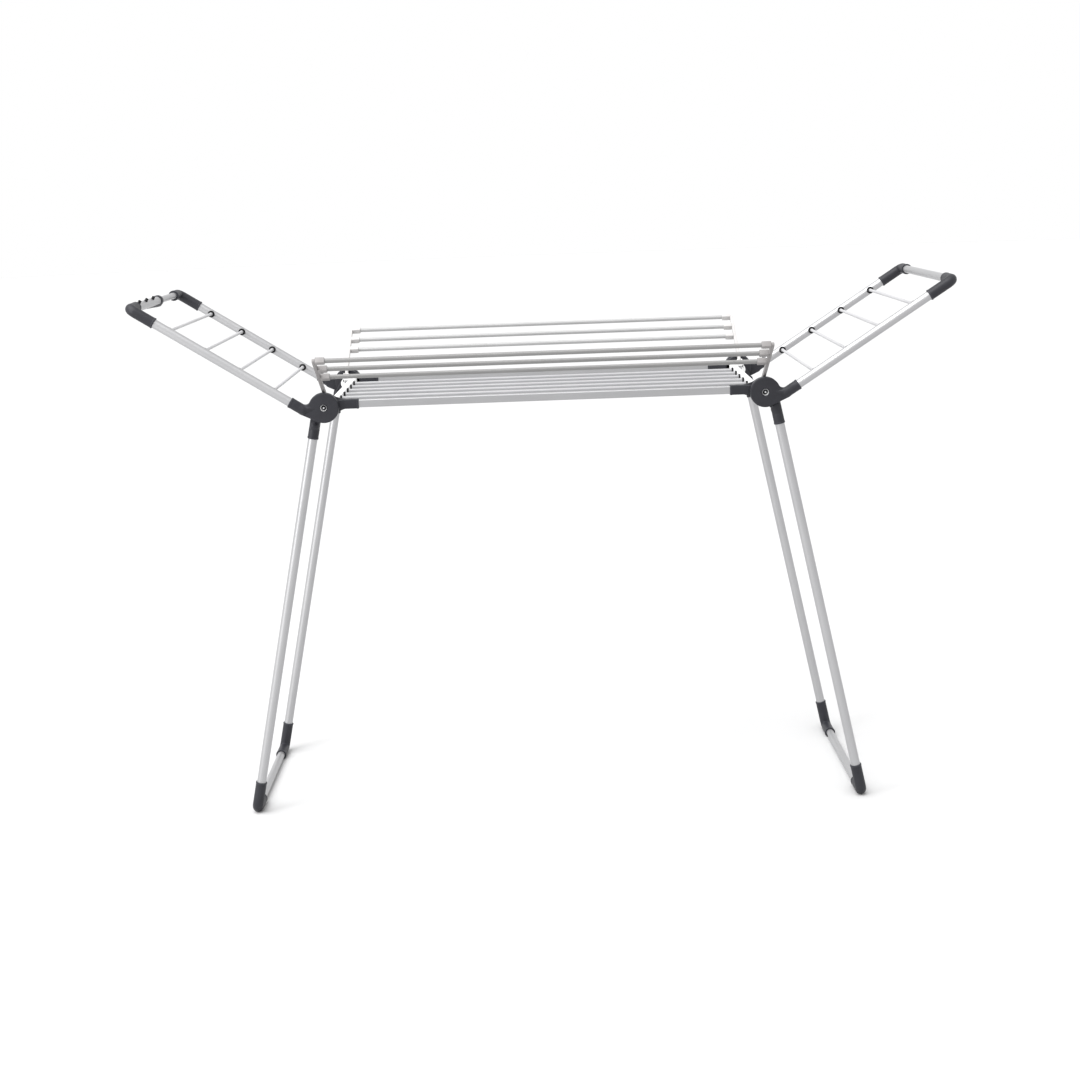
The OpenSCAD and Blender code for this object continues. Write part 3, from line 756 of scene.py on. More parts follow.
def slab(flat, y, low, high, edge):
    """An outline's distance given thickness in Y, with edges rounded by edge."""
    a = flat + edge
    b = np.abs(y - (low + high) / 2) - (high - low) / 2 + edge
    outside = np.sqrt(np.maximum(a, 0) ** 2 + np.maximum(b, 0) ** 2)
    return outside + np.minimum(np.maximum(a, b), 0) - edge


# %% The net that wraps a field
def net(field, low, high, cell):
    """Faces round the inside of a field, then three steps that bring the points onto its surface."""
    low = np.array(low, float)
    count = np.ceil((np.array(high) - low) / cell).astype(int) + 1
    grid = np.stack(np.meshgrid(*[low[k] + cell * np.arange(count[k]) for k in range(3)], indexing="ij"), -1)
    value = field(grid.reshape(-1, 3)).reshape(count)
    total = np.zeros((*(count - 1), 3))
    hits = np.zeros(count - 1)
    edges = []
    for k in range(3):
        lower = [slice(None)] * 3
        upper = [slice(None)] * 3
        lower[k], upper[k] = slice(0, -1), slice(1, None)
        a, b = value[tuple(lower)], value[tuple(upper)]
        crosses = (a < 0) != (b < 0)
        share = np.where(crosses, a / np.where(crosses, a - b, 1), 0)
        place = grid[tuple(lower)].copy()
        place[..., k] += share * cell
        place *= crosses[..., None]
        u, v = (k + 1) % 3, (k + 2) % 3
        for du in (0, 1):
            for dv in (0, 1):
                near = [slice(None)] * 3
                near[u] = slice(du, count[u] - 1 + du)
                near[v] = slice(dv, count[v] - 1 + dv)
                total += place[tuple(near)]
                hits += crosses[tuple(near)]
        edges.append((crosses, a < 0))
    used = hits > 0
    number = np.full(used.shape, -1)
    number[used] = np.arange(used.sum())
    points = total[used] / hits[used][:, None]
    faces = []
    for k, (crosses, solid) in enumerate(edges):
        u, v = (k + 1) % 3, (k + 2) % 3
        where = np.argwhere(crosses)
        for w in (u, v):
            where = where[(where[:, w] > 0) & (where[:, w] < count[w] - 1)]
        quad = []
        for du, dv in ((1, 1), (0, 1), (0, 0), (1, 0)):
            at = where.copy()
            at[:, u] -= du
            at[:, v] -= dv
            quad.append(number[tuple(at.T)])
        quad = np.stack(quad, axis=1)
        out = solid[tuple(where.T)]
        faces += [tuple(q) if o else tuple(q[::-1]) for q, o in zip(quad.tolist(), out)]
    for _ in range(3):
        here = field(points)
        slope = np.stack([field(points + s) - field(points - s) for s in np.eye(3) * 0.05], axis=1) / 0.1
        points = points - slope * (here / np.maximum((slope ** 2).sum(axis=1), 0.25))[:, None]
    return points, faces

# %% [markdown]
# ## Wing connectors
# The outer disc of each hub, its bent neck and the sleeve for the wing tube are one moulding. The
# outline of disc and neck is exact, with a round inside corner above the neck. The sleeve merges
# into it, and a ridge runs on from the sleeve and fades out on the face of the disc.

# %% The outline of disc and neck
HUB_R, SLEEVE_R, NECK_R = 33.4, 11.75, 12
SLEEVE_START, SLEEVE_STOP, WING_TUBE_START = 38, 70, 42
DISC_IN, DISC_OUT = HUB_Y, HUB_Y + 17


def lower_tangent(r1, x, z, r2, turn=-1):
    """Direction in degrees, from each centre, of a line that touches two circles."""
    reach = math.hypot(x, z)
    return math.degrees(math.atan2(z, x) + turn * math.acos((r1 - r2) / reach))


def neck_outline():
    down = lower_tangent(HUB_R, SLEEVE_START, -WING_DROP, SLEEVE_R)
    cz = -WING_DROP + SLEEVE_R - 1.9 + NECK_R
    cx = math.sqrt((HUB_R + NECK_R) ** 2 - cz * cz)
    touch = math.degrees(math.atan2(cz, cx))
    disc = arc(0, 0, HUB_R, touch, down + 360, 60)
    sleeve = arc(SLEEVE_START, -WING_DROP, SLEEVE_R, down, 60, 16)
    inner = arc(cx, cz, NECK_R, -100, touch - 180, 10)[:-1]
    return np.concatenate([disc, sleeve, inner])


NECK = neck_outline()
print("neck outline:", len(NECK), "points")


# %% The moulding, its recess and its rolled sleeve end
def rolled_mouth(bore_r, r, start, end):
    """Profile of a sleeve's mouth: a thin wall that swells to a rolled edge at its end."""
    way = 1 if end > start else -1
    return [(bore_r, start), (r - 0.3, start), (r, start + way), (r, end - 4.4 * way),
            (r + 0.5, end - 3.8 * way), (r + 0.5, end - 0.8 * way), (r - 0.1, end),
            (bore_r + 0.4, end), (bore_r, end - 0.4 * way)]


def wing_field(p):
    body = slab(outline_distance(p[:, 0], p[:, 2], NECK), p[:, 1], DISC_IN, DISC_OUT, 2.6)
    start = (SLEEVE_START, WING_Y, -WING_DROP)
    sleeve = capsule(p, start, (SLEEVE_STOP - 14, WING_Y, -WING_DROP), SLEEVE_R - 0.1, SLEEVE_R - 0.1)
    ridge = capsule(p, start, (14, WING_Y + 1.0, -9.5), SLEEVE_R - 0.8, 3.5)
    return merge(body, merge(sleeve, ridge, 1.0), 1.0)


def wing_moulding():
    core = net(wing_field, (-36, DISC_IN - 3, -44), (SLEEVE_STOP, DISC_OUT + 7, 36), 1.3)
    dish = [(8, DISC_OUT - 14), (8, DISC_OUT - 0.9), (8.9, DISC_OUT + 0.2), (8.9, DISC_OUT + 4)]
    recess = turned(dish, 48, "y")
    bolt = turned([(BOLT_HOLE_R, DISC_IN - 5), (BOLT_HOLE_R, DISC_OUT)], 32, "y")
    bore_r = WING_R + 0.1
    centre = (0, WING_Y, -WING_DROP)
    bore = turned([(bore_r, WING_TUBE_START), (bore_r, SLEEVE_STOP + 5)], 48, "x", centre)
    trim = turned([(20, SLEEVE_STOP - 3), (20, SLEEVE_STOP + 8)], 24, "x", centre)
    collar = turned_ring(rolled_mouth(bore_r, SLEEVE_R, 46, SLEEVE_STOP), 48, "x", centre)
    return joined(cut(core, recess, bolt, trim, bore), collar)


WING_SHELL = wing_moulding()
for key, (side, face) in CORNERS.items():
    piece("wing_hub_" + key, moved(WING_SHELL, on_wing(side, face)), WING_BODY[side], ANTHRACITE,
          ["wing_connector_" + key])
print("wing connector:", len(WING_SHELL[0]), "points each")

# %% [markdown]
# ## Leg connectors
# An eye between the rail connector and the bracket turns on the hub bolt. A link runs down from it to
# a boss, and the boss carries the sleeve of the leg tube. The two leg frames differ in depth so that
# they can fold side by side, and therefore the boss reaches forwards on one and back on the other.

# %% Eye, link, boss and sleeve
EYE_OUT, EYE_IN, EYE_R, BOSS_R = 233.0, 221.2, 16, 11
LEG_SLEEVE_R, BOSS_LOW, LEG_SLEEVE_END, LINK_LOW = 12, -48, -78, -38
LEG_TUBE_START = -50
SLEEVE_TOP, TOP_SLOPE = {-1: -26, 1: -31.9}, 0.246
CHAMFER_X, CHAMFER_Z, CHAMFER_OUT, CHAMFER_UP = 5.6, -42.5, 0.879, 0.478


def link_outline():
    left = lower_tangent(EYE_R, LEG_OFF, LINK_LOW, BOSS_R)
    right = lower_tangent(EYE_R, LEG_OFF, LINK_LOW, BOSS_R, 1)
    eye = arc(0, 0, EYE_R, right, left + 360, 30)
    boss = arc(LEG_OFF, LINK_LOW, BOSS_R, left, right, 16)
    return np.concatenate([eye, boss])


LINK = link_outline()


def leg_moulding(side):
    """The sleeve's top slants. On the right its inner corner is taken off, to fold past the rail's web."""
    y = LEG_Y[side]
    inner, outer = min(y, EYE_IN + 6), max(y, EYE_OUT - 6)

    def field(p):
        plate_part = slab(outline_distance(p[:, 0], p[:, 2], LINK), p[:, 1], EYE_IN, EYE_OUT, 1.6)
        boss = capsule(p, (LEG_OFF, inner, BOSS_LOW), (LEG_OFF, outer, BOSS_LOW), BOSS_R, BOSS_R)
        across = np.hypot(p[:, 0] - LEG_OFF, p[:, 1] - y) - (LEG_SLEEVE_R - 0.1)
        level = p[:, 2] - TOP_SLOPE * (p[:, 0] - LEG_OFF)
        sleeve = slab(across, level, LEG_SLEEVE_END - 6, SLEEVE_TOP[side], 1.5)
        if side > 0:
            chamfer = (p[:, 2] - CHAMFER_Z) * CHAMFER_UP - (p[:, 0] - CHAMFER_X) * CHAMFER_OUT
            sleeve = np.maximum(sleeve, chamfer)
        return merge(merge(boss, sleeve, 1.5), plate_part, 1.5)

    core = net(field, (-18, 205, LEG_SLEEVE_END - 12), (32, 259, 18), 1.4)
    bolt = turned([(BOLT_HOLE_R, EYE_IN - 8), (BOLT_HOLE_R, EYE_OUT + 8)], 32, "y")
    bore_r = LEG_R + 0.1
    centre = (LEG_OFF, y, 0)
    bore = turned([(bore_r, LEG_SLEEVE_END - 14), (bore_r, LEG_TUBE_START)], 48, "z", centre)
    trim = turned([(20, LEG_SLEEVE_END - 13), (20, LEG_SLEEVE_END + 3)], 24, "z", centre)
    collar = turned_ring(rolled_mouth(bore_r, LEG_SLEEVE_R, -54, LEG_SLEEVE_END), 48, "z", centre)
    return joined(cut(core, bolt, trim, bore), collar)


LEG_SHELLS = {side: leg_moulding(side) for side in (-1, 1)}
for key, (side, face) in CORNERS.items():
    piece("leg_sleeve_" + key, moved(LEG_SHELLS[side], on_leg(side, face)), LEG_BODY[side], ANTHRACITE,
          ["leg_connector_" + key])
print("leg connector:", len(LEG_SHELLS[1][0]), "points each")

# %% [markdown]
# ## Tubes of the wings and legs
# Each tube runs from its sleeve to its elbow. Its ends are hidden in the plastic, but they are open
# and broken like a sawn and tumbled tube.

# %% Leg tubes, floor bars, wing tubes and end bars
def spot(matrix, point):
    return tuple(matrix @ Vector(point))


def open_tube(name, start, end, radius, body, node):
    tube(name, start, end, radius, TUBE_WALL, body, ALUMINIUM, [node])


TUBE_STOP = 16
for key, (side, face) in CORNERS.items():
    leg = on_leg(side, face)
    top = spot(leg, (LEG_OFF, LEG_Y[side], LEG_TUBE_START))
    foot = spot(leg, (LEG_OFF, LEG_Y[side], -LEG_L + TUBE_STOP))
    open_tube("leg_" + key, top, foot, LEG_R, LEG_BODY[side], "leg_tube_" + key)
    wing = on_wing(side, face)
    low = spot(wing, (WING_TUBE_START, WING_Y, -WING_DROP))
    high = spot(wing, (WING_L - TUBE_STOP, WING_Y, -WING_DROP))
    open_tube("wing_side_" + key, low, high, WING_R, WING_BODY[side], "wing_tube_" + key)

for side, word in ((-1, "left"), (1, "right")):
    ends = [spot(on_leg(side, f), (LEG_OFF, LEG_Y[side] - TUBE_STOP, -LEG_L)) for f in (-1, 1)]
    open_tube(word + "_foot_bar", *ends, FLOOR_R, LEG_BODY[side], word + "_floor_bar")
    ends = [spot(on_wing(side, f), (WING_L, WING_Y - TUBE_STOP, -WING_DROP)) for f in (-1, 1)]
    r = HANGER_BAR_R if side < 0 else END_R
    open_tube(word + "_wing_bar", *ends, r, WING_BODY[side], word + "_end_bar")
print("pieces so far:", len(MADE))

# %% [markdown]
# ## Corner elbows
# An elbow joins two tubes at a right angle. It is swept along a bent path, with a raised band round
# each mouth, and it goes on inwards down both sockets. On the leg frames the elbow is also the foot,
# and its underside is worn flat where it stands.

# %% One elbow, swept along its bend
BEND = 14


def elbow(radius, bore_a, bore_b, arm):
    """Sockets along -X and -Y that meet at the origin. bore_a is the radius of the one along -X."""
    def station(s):
        """Centre and in-plane normal at distance s along the path from the mouth of socket a."""
        straight = arm - BEND
        curve = BEND * math.pi / 2
        if s <= straight:
            return (-arm + s, 0), (0, 1)
        if s >= straight + curve:
            return (0, -BEND - (s - straight - curve)), (1, 0)
        a = math.pi / 2 - (s - straight) / BEND
        normal = (math.cos(a), math.sin(a))
        return (-BEND + BEND * normal[0], -BEND + BEND * normal[1]), normal

    whole = 2 * (arm - BEND) + BEND * math.pi / 2
    band = [(0.0, -0.9), (0.8, 0.55), (3.6, 0.6), (4.4, 0.0)]
    steps = [(s, radius + grow) for s, grow in band]
    steps += [(s, radius) for s in np.linspace(arm - BEND, whole - arm + BEND, 13)]
    steps += [(whole - s, radius + grow) for s, grow in band[::-1]]
    turn = circle(1, 44)

    def ring(s, r):
        (x, y), (nx, ny) = station(s)
        return np.column_stack([x + turn[:, 0] * r * nx, y + turn[:, 0] * r * ny, turn[:, 1] * r])

    rings = [ring(arm - TUBE_STOP, bore_a), ring(0.3, bore_a), ring(0.0, bore_a + 0.4)]
    rings += [ring(s, r) for s, r in steps]
    rings += [ring(whole, bore_b + 0.4), ring(whole - 0.3, bore_b), ring(whole - arm + TUBE_STOP, bore_b)]
    return skin(rings)


# %% Eight elbows in place
def foot_shell(side, face):
    local = Matrix.Translation((LEG_OFF, LEG_Y[side], -LEG_L)) @ Matrix.Rotation(math.pi / 2, 4, "Y")
    shell = elbow(12.5, LEG_R + 0.1, FLOOR_R + 0.1, 66)
    points, faces = moved(shell, on_leg(side, face) @ local)
    points[:, 2] = np.maximum(points[:, 2], 0)
    return points, faces


for side, word in ((-1, "left"), (1, "right")):
    r = HANGER_BAR_R if side < 0 else END_R
    corners = []
    for face in (-1, 1):
        local = Matrix.Translation((WING_L, WING_Y, -WING_DROP))
        corners.append(moved(elbow(12, WING_R + 0.1, r + 0.1, 60), on_wing(side, face) @ local))
    piece(word + "_wing_corners", joined(*corners), WING_BODY[side], ANTHRACITE,
          [word + "_wing_elbows"])
for key, (side, face) in CORNERS.items():
    piece("foot_" + key, foot_shell(side, face), LEG_BODY[side], ANTHRACITE,
          ["foot_elbow_" + key])
print("elbows: 8, feet stand at", round(min(v.co.z for v in MADE[-1].data.vertices), 4), "m")

# %% [markdown]
# ## Thin rods across the wings
# Four white rods cross each wing, for small things and coat hangers. They go right into the tubes,
# and a black rubber grommet closes each hole. The grommet is a rolled ring, fat enough to see, and
# is turned as one outline. The rod has a slightly swollen end where it was pressed to hold it.

# %% Eight thin rods and sixteen grommets
WING_RODS = [115, 201, 287, 373]
TUBE_FACE = WING_Y - WING_R
GROMMET = [(4.3, -3.8), (4.9, -4.6), (6.9, -4.9), (8.1, -4.0), (8.5, -2.2), (8.3, 0.0), (7.9, 2.0),
           (7.4, 4.6), (4.3, 4.6)]


def thin_rods(side):
    shells = []
    for u in WING_RODS:
        half = WING_Y + 2
        r = WING_ROD_R
        profile = [(2.9, -half), (r, -half + 0.8), (4.25, -TUBE_FACE - 4), (4.25, -TUBE_FACE + 5.4),
                   (r, -TUBE_FACE + 7), (r, -120), (r, 0)]
        profile += [(wide, -h) for wide, h in profile[-2::-1]]
        rod = turned(profile, 24, "y", (u, 0, -WING_DROP))
        shells.append(moved(rod, on_wing(side, 1)))
    return joined(*shells)


def grommets(side):
    shells = []
    for face in (-1, 1):
        for u in WING_RODS:
            ring = turned_ring([(r, TUBE_FACE + h) for r, h in GROMMET], 28, "y", (u, 0, -WING_DROP))
            shells.append(moved(ring, on_wing(side, face)))
    return joined(*shells)


for side, word in ((-1, "left"), (1, "right")):
    piece(word + "_thin_rods", thin_rods(side), WING_BODY[side], THIN_COAT,
          [word + "_wing_rods"])
    piece(word + "_rod_grommets", grommets(side), WING_BODY[side], RUBBER,
          [word + "_grommets"])
print("thin rods:", 2 * len(WING_RODS))

# %% [markdown]
# ## The hanger holder
# The bar at the end of the left wing carries a fat silver sleeve with three small rubber pegs on top.
# Its inner end has a dark collar, and a lip runs back from the collar along the lower inner side of the
# sleeve and gets lower as it goes. Sleeve and collar are turned; the lip is swept with a falling height.

# %% Sleeve, collar with its lip, and pegs
HOLDER_START, HOLDER_L, HOLDER_R = -200, 216, 10.25
HOLDER_END = HOLDER_START + HOLDER_L
PEG_PITCH, LIP_TURN = 69, -140


def on_left_bar():
    return on_wing(-1, 1) @ Matrix.Translation((WING_L, 0, -WING_DROP))


def holder_collar():
    r = HOLDER_R
    e = HOLDER_END
    roll = [(7.6, e), (r + 0.15, e), (r + 0.15, e - 2.6), (r + 1.8, e - 3.0), (r + 2.5, e - 1.6),
            (r + 2.4, e + 11.2), (r + 1.9, e + 13.2), (r + 1.0, e + 14), (r + 0.2, e + 13.4), (r, e + 10),
            (8.4, e + 8), (7.6, e + 7)]
    ring = turned_ring(roll, 44, "y")
    rings = []
    levels = ((e - 118, 0.4, 3), (e - 80, 1.3, 8), (e - 40, 2.6, 12), (e - 10, 3.8, 14), (e + 1, 4.0, 14))
    for y, drop, width in levels:
        a = np.radians(np.linspace(LIP_TURN - width * 2.4, LIP_TURN + width * 2.4, 9))
        inner = np.column_stack([np.cos(a), np.sin(a)]) * (r + 0.1)
        outer = np.column_stack([np.cos(a), np.sin(a)]) * (r + drop)
        outer[0] = inner[0] * (1 + 0.3 * drop / r)
        outer[-1] = inner[-1] * (1 + 0.3 * drop / r)
        ring_2d = np.concatenate([outer, inner[::-1]])
        rings.append(np.column_stack([ring_2d[:, 0], np.full(len(ring_2d), y), ring_2d[:, 1]]))
    return joined(ring, skin(rings))


def holder_pegs():
    shells = []
    for k in range(3):
        y = HOLDER_START + 8 + k * PEG_PITCH
        profile = [(2.9, 8.2), (2.9, 10.0), (3.8, 10.25), (4.0, 10.9), (3.5, 12.2), (3.3, 14.0), (3.7, 15.4),
                   (3.6, 16.4), (2.6, 17.1), (1.0, 17.3)]
        shells.append(turned(profile, 24, "z", (0, y, 0)))
    return joined(*shells)


own, length = along(spot(on_left_bar(), (0, HOLDER_START, 0)), spot(on_left_bar(), (0, HOLDER_END, 0)))
r, w, n = HOLDER_R * MM, 2.6 * MM, 0.5 * MM
outline = [(r - n, 0), (r, n), (r, length / 2), (r, length - n), (r - n, length), (r - w, length), (r - w, 0)]
holder = turned_ring(outline, 48)
piece("hanger_holder_sleeve", holder, "left_wing", ALUMINIUM, ["hanger_sleeve"], own)
piece("hanger_holder_collar", moved(holder_collar(), on_left_bar()), "left_wing", ANTHRACITE,
      ["hanger_collar"])
piece("hanger_holder_pegs", moved(holder_pegs(), on_left_bar()), "left_wing", RUBBER,
      ["hanger_pegs"])
print("hanger holder:", round(length, 3), "m long")

# %% [markdown]
# ## Brackets on the inside of the hubs
# A white moulding at each hub holds the end of the crossbar, the inner end of the hub bolt and the pin
# of the side rack's arm. Its two cheeks stand up on both sides of the arm and taper towards the top,
# like the foot of a mast.

# %% One bracket and its four copies
BRACKET_IN, BRACKET_OUT, CHEEK_IN = 200, 221, 3.9


def cheek(side):
    """A tapering wall beside the rack's arm. Each level has an outer face and a half depth."""
    rings = []
    levels = [(-6, 8.9, 8.0), (2, 8.9, 8.0), (12, 8.2, 8.0), (18, 7.4, 7.2), (22, 6.6, 5.6), (25, 5.6, 3.0),
              (25.6, 5.0, 1.6)]
    for z, outer, half in levels:
        thick = outer - CHEEK_IN
        ring = rounded(thick, 2 * half, min(1.0, half * 0.4, thick * 0.4), 3)
        x = (ring[:, 0] + (outer + CHEEK_IN) / 2) * side
        rings.append(np.column_stack([x, PIN_Y + ring[:, 1], np.full(len(ring), z)]))
    return skin(rings)


def box_shell(low, high, radius, bevel=0.8):
    """A block with rounded long edges along Y and broken ends."""
    size = np.array(high, float) - np.array(low, float)
    mid = (np.array(high, float) + np.array(low, float)) / 2
    outline = rounded(size[0], size[2], radius) + np.array([mid[0], mid[2]])
    return plate(outline, low[1], high[1], bevel, bevel)


def bracket():
    drum = [(12.2, BRACKET_IN), (13, BRACKET_IN + 0.8), (13, BRACKET_OUT - 0.6), (12.4, BRACKET_OUT)]
    boss = turned(drum, 44, "y")
    socket = box_shell((-26, 186, -8), (-6, 206, 14), 3.4)
    bridge = box_shell((-17, BRACKET_IN + 0.5, -10.5), (0, 205.8, 10.5), 2)
    foot = box_shell((-8.9, 200.2, -4), (8.9, 215.8, 8.4), 1.5)
    nut_hole = turned([(8.1, BRACKET_IN - 2), (8.1, BRACKET_IN + 9)], 36, "y")
    bolt_hole = turned([(BOLT_HOLE_R, BRACKET_IN - 3), (BOLT_HOLE_R, BRACKET_OUT + 3)], 32, "y")
    bar_hole = box_shell((-24.1, 180, -6.1), (-7.9, 200, 12.1), 3, 0.01)
    parts = [cut(boss, nut_hole, bolt_hole), cut(socket, bar_hole)]
    parts += [cut(bridge, nut_hole, bolt_hole, bar_hole), cut(foot, bolt_hole, nut_hole)]
    return joined(*parts, cheek(1), cheek(-1))


def all_hubs(shell):
    return joined(*[moved(shell, at_hub(side, face)) for side, face in CORNERS.values()])


BRACKET = bracket()
piece("hub_bracket_mouldings", all_hubs(BRACKET), "centre_frame", WHITE_PLASTIC,
      ["hub_brackets"])
print("bracket:", len(BRACKET[0]), "points each")

# %% [markdown]
# ## Bolts, nuts, washers and pins
# What shows of the hub bolt is its round head: a bright ring with a rolled edge, a deep dark socket
# and the polished end of a centre pin in it. The socket's floor is painted black as shade, and its inner
# wall is painted white as a stand-in for the glint of the steel, which the lamps light into a crescent.
# All of these are turned shapes, and only the nut is six-sided, with its corners taken off in a cone as
# real nuts have.

# %% Hardware
HEAD = 266
CUP_FLOOR = HEAD - 10.5
bolt = [(3.4, 203), (4, 203.6), (4, CUP_FLOOR - 1), (6.9, CUP_FLOOR - 1), (7.25, CUP_FLOOR - 0.7),
        (7.25, HEAD - 0.4), (7.0, HEAD), (6.7, HEAD), (6.4, HEAD - 0.4), (5.7, CUP_FLOOR + 0.1),
        (2.1, CUP_FLOOR), (2.1, HEAD - 2.6), (1.8, HEAD - 2.1), (0.4, HEAD - 1.9)]
washer = [(4.1, 0), (11.6, 0), (12, 0.25), (12, 0.75), (11.6, 1), (4.1, 1)]
nut = turned([(6.6, 203), (7.4, 203.6), (7.4, 208.4), (6.6, 209)], 6, "y")
nut = cut(nut, turned([(BOLT_HOLE_R, 200), (BOLT_HOLE_R, 212)], 32, "y"))
pin = [(3.3, -9.6), (3.5, -9.2), (3.4, -8.95), (2.5, -8.9), (2.5, 8.9), (3.4, 8.95), (3.5, 9.2), (3.3, 9.6)]
pin = turned(pin, 24, "x", (0, PIN_Y, PIN_Z))
washers = [turned_ring([(r, y + h) for r, h in washer], 40, "y") for y in (DISC_FRONT, DISC_BACK - 1)]
bolts = piece("hub_bolt_set", all_hubs(turned(bolt, 44, "y")), "centre_frame", STEEL, ["hub_bolts"])
for finish in (SHADED, WHITE_PLASTIC):
    bolts.data.materials.append(finish)
# Faces on the socket's floor take the black finish as painted shade; faces on its inner wall take white
# plastic as a painted stand-in for the steel's glint, which the lamps light.
for f in bolts.data.polygons:
    x, y, z = f.center / MM
    off = math.hypot(abs(x) - HUB_X, z - HUB_Z)
    if CUP_FLOOR - 0.2 < abs(y) < CUP_FLOOR + 0.3 and 2.1 < off < 5.7:
        f.material_index = 1
    elif CUP_FLOOR + 0.3 < abs(y) < HEAD - 0.3 and 5.5 < off < 6.6:
        f.material_index = 2
piece("hub_nut_set", all_hubs(nut), "centre_frame", STEEL, ["hub_nuts"])
piece("hub_washer_set", all_hubs(joined(*washers)), "centre_frame", WHITE_PLASTIC,
      ["hub_washers"])
piece("rack_pin_set", all_hubs(pin), "centre_frame", STEEL, ["rack_pins"])
print("hardware: 4 bolts, 4 nuts, 8 washers, 4 pins")

# %% [markdown]
# ## Side racks
# Each side rack is two flat arms with three round rods between them. An arm has an eye at its foot,
# tapers a little, and has a shallow channel down its outer face so that it stays stiff but light.
# Each rod sits in a blocky socket with soft edges, which has a dark joint line round the rod.

# %% Arms, rods and sockets
RACK_RODS = [REACH - 2 * PITCH, REACH - PITCH, REACH]
ARM_T, BLOCK = 7, 13


def arm_shell(side):
    eye = arc(0, 0, 7, 48, 312, 22)
    tip = arc(REACH, 0, 5, -90, 90, 12)
    outline = np.concatenate([eye, [(16, -5)], tip, [(16, 5)]])
    low = side * HUB_X - ARM_T / 2
    bar = plate(outline, low, low + ARM_T, 1.1, 1.1, "x")
    hole = turned([(2.55, low - 2), (2.55, low + ARM_T + 2)], 24, "x")
    groove = np.concatenate([arc(24, 0, 2.4, 90, 270, 8), arc(REACH - 16, 0, 2.4, -90, 90, 8)])
    out = low + ARM_T if side > 0 else low
    channel = plate(groove, out - 0.9, out + 0.9, 0.3, 0.01, "x")
    return cut(bar, hole, channel)


def socket_shell(side, v):
    inner = HUB_X - ARM_T / 2
    section = rounded(BLOCK, BLOCK, 1.7)
    start = math.atan2(section[0][1], section[0][0])
    turn = np.array([[math.cos(start), math.sin(start)], [-math.sin(start), math.cos(start)]])
    bore = circle(RACK_ROD_R + 0.25, len(section)) @ turn
    rings = []
    for back, grow in ((0, -0.3), (0.6, 0), (14, 0), (19.4, -0.2), (20, -0.7)):
        flat = np.full(len(section), inner - back)
        rings.append(np.column_stack([flat, section * (1 + grow / (BLOCK / 2))]))
    for x in (inner - 20, inner):
        rings.append(np.column_stack([np.full(len(section), x), bore]))
    points, faces = skin(rings, loop=True)
    points = points * np.array([side, 1, 1]) + np.array([0, v, 0])
    return points, faces


for face, word in ((-1, "front"), (1, "back")):
    place = on_rack(face)
    body = RACK_BODY[face]
    arms = [moved(arm_shell(side), place) for side in (-1, 1)]
    piece(word + "_rack_arm_pair", joined(*arms), body, RACK_PLASTIC[face],
          [word + "_rack_arms"])
    blocks = [moved(socket_shell(side, v), place) for side in (-1, 1) for v in RACK_RODS]
    piece(word + "_rack_end_blocks", joined(*blocks), body, RACK_PLASTIC[face],
          [word + "_rack_sockets"])
    half = HUB_X - ARM_T / 2
    for k, v in enumerate(RACK_RODS):
        tube(word + "_rack_rod_%d" % (k + 1), spot(place, (-half, v, 0)), spot(place, (half, v, 0)),
             RACK_ROD_R, 1, body, RACK_COAT[face], [word + "_rack_rods"], 36)
print("side racks: 2, pieces in all:", len(MADE))

# %% [markdown]
# ## Floor and light
# A plain pale floor runs out of sight, and the world is an even white, as in a studio cove.
# Two lights shape the tubes: a wide even one overhead makes the tops bright, and a soft box at the left
# draws a long highlight down the legs. The floor's finish has a trace of unevenness so that it isn't dead.

# %% A wide floor
FLOOR_SIZE = 30.0


def studio_floor():
    levels = ((FLOOR_SIZE, -0.012), (FLOOR_SIZE, 0.0), (4.0, 0.0), (0.5, 0.0))
    rings = [np.column_stack([circle(r, 96), np.full(96, z)]) for r, z in levels]
    made = placed("studio_floor", as_mesh("studio_floor", skin(rings)))
    r = Recipe("studio_floor_paint")
    tone = r.noise(1.5, 2.0)
    made.data.materials.append(r.surface({
        "Base Color": r.colours(tone, (0.5, 0.5, 0.504), (0.53, 0.53, 0.53)),
        "Roughness": 0.7 + tone * 0.1,
        "Specular IOR Level": 0.2,
    }))


studio_floor()
world = bpy.data.worlds.new("white_room")
bpy.context.scene.world = world
world.use_nodes = True
sky = world.node_tree.nodes["Background"]
sky.inputs["Color"].default_value = (1, 1, 1, 1)
sky.inputs["Strength"].default_value = 1.0
print("floor radius:", FLOOR_SIZE, "m")


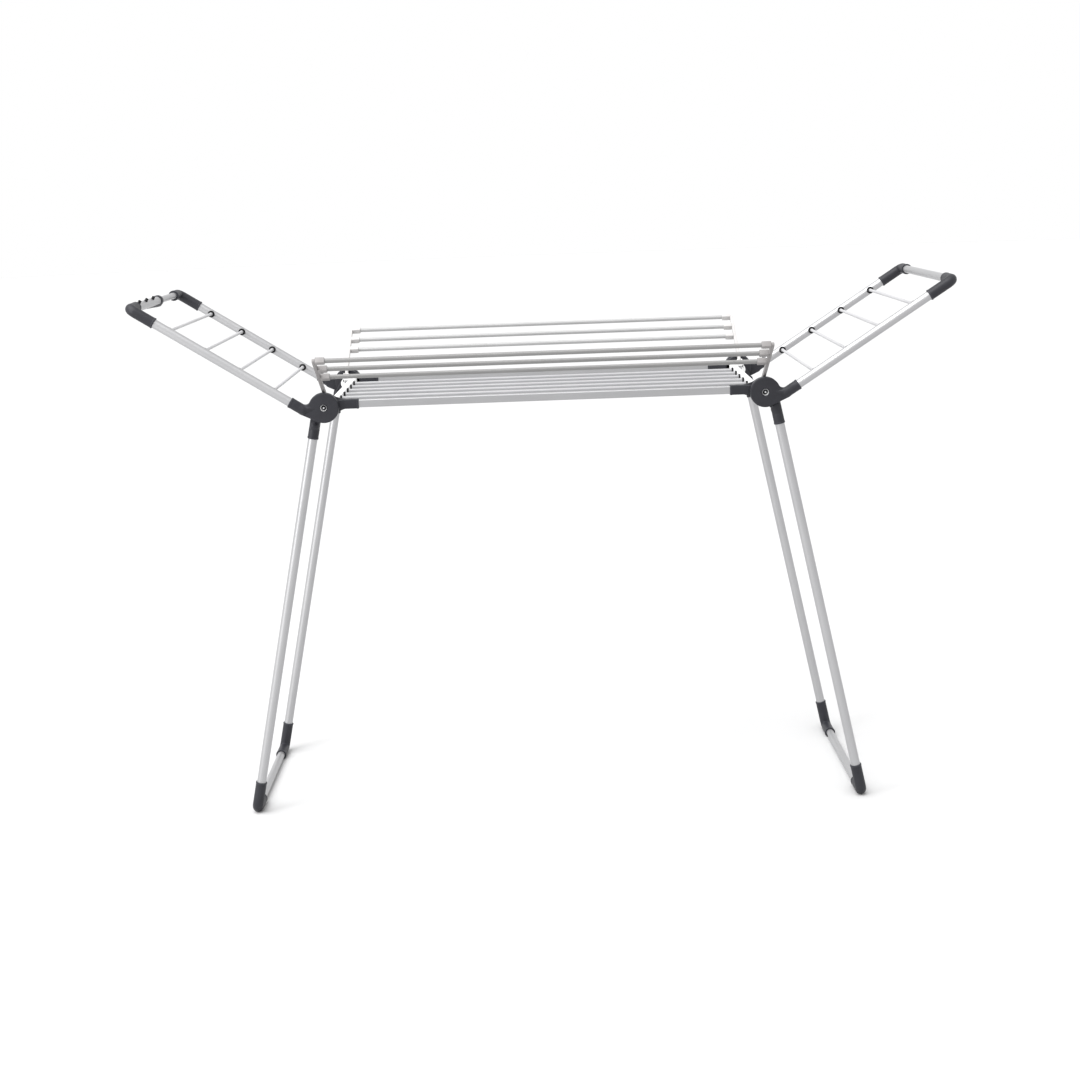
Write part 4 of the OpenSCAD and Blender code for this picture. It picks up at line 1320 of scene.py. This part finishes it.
# %% The two lights
def soft_box(name, place, aim, size, watts):
    lamp = bpy.data.lights.new(name, "AREA")
    lamp.shape = "RECTANGLE"
    lamp.size, lamp.size_y = size
    lamp.energy = watts
    made = placed(name, lamp)
    made.location = place
    made.rotation_euler = (Vector(aim) - Vector(place)).to_track_quat("-Z", "Y").to_euler()


def sky_panel(name, direction, spread, strength):
    """An even light from far away, softened by its angle in degrees."""
    lamp = bpy.data.lights.new(name, "SUN")
    lamp.angle = math.radians(spread)
    lamp.energy = strength
    made = placed(name, lamp)
    made.rotation_euler = Vector(direction).to_track_quat("Z", "Y").to_euler()


sky_panel("overhead_panel", (-0.35, -0.3, 1.0), 60, 3.6)
soft_box("left_box", (-3.2, -2.2, 1.8), (0, 0, 0.7), (1.6, 2.6), 70)

# %% [markdown]
# ## Camera
# The camera stands a little above the rods, four metres in front of the middle, and looks slightly
# down. It leans by two degrees, as a hand-held picture does. Its axes are built from three turns.

# %% A camera four metres in front
def stand_camera(place, yaw, pitch, roll, lens):
    """Turns in degrees: yaw to the side, pitch downwards, roll of the picture."""
    data = bpy.data.cameras.new("camera")
    data.lens = lens
    data.sensor_width = 36
    data.clip_end = 200
    made = placed("camera", data)
    turn = Matrix.Rotation(math.radians(yaw), 3, "Y") @ Matrix.Rotation(math.radians(pitch), 3, "X")
    turn = turn @ Matrix.Rotation(math.radians(roll), 3, "Z")
    rows = turn @ Matrix(((1, 0, 0), (0, 0, -1), (0, 1, 0)))
    right, down, ahead = (Vector(rows[k]) for k in range(3))
    axes = Matrix((right, -down, -ahead)).transposed()
    made.matrix_world = Matrix.Translation(place) @ axes.to_4x4()
    bpy.context.scene.camera = made
    return made


camera = stand_camera((-0.00824, -3.96538, 1.41321), -0.24, 11.87, -2.10, 56.51)
bpy.context.scene.view_settings.view_transform = "Standard"
bpy.context.scene.view_settings.look = "None"
print("camera height:", round(camera.location.z, 3), "m, lens", camera.data.lens, "mm")

# %% [markdown]
# ## Measure and finish
# The model that is seen has to be the size of the frame. The faces of all the pieces are counted.

# %% The faces of all the pieces
print("faces in all:", sum(len(o.data.polygons) for o in MADE))
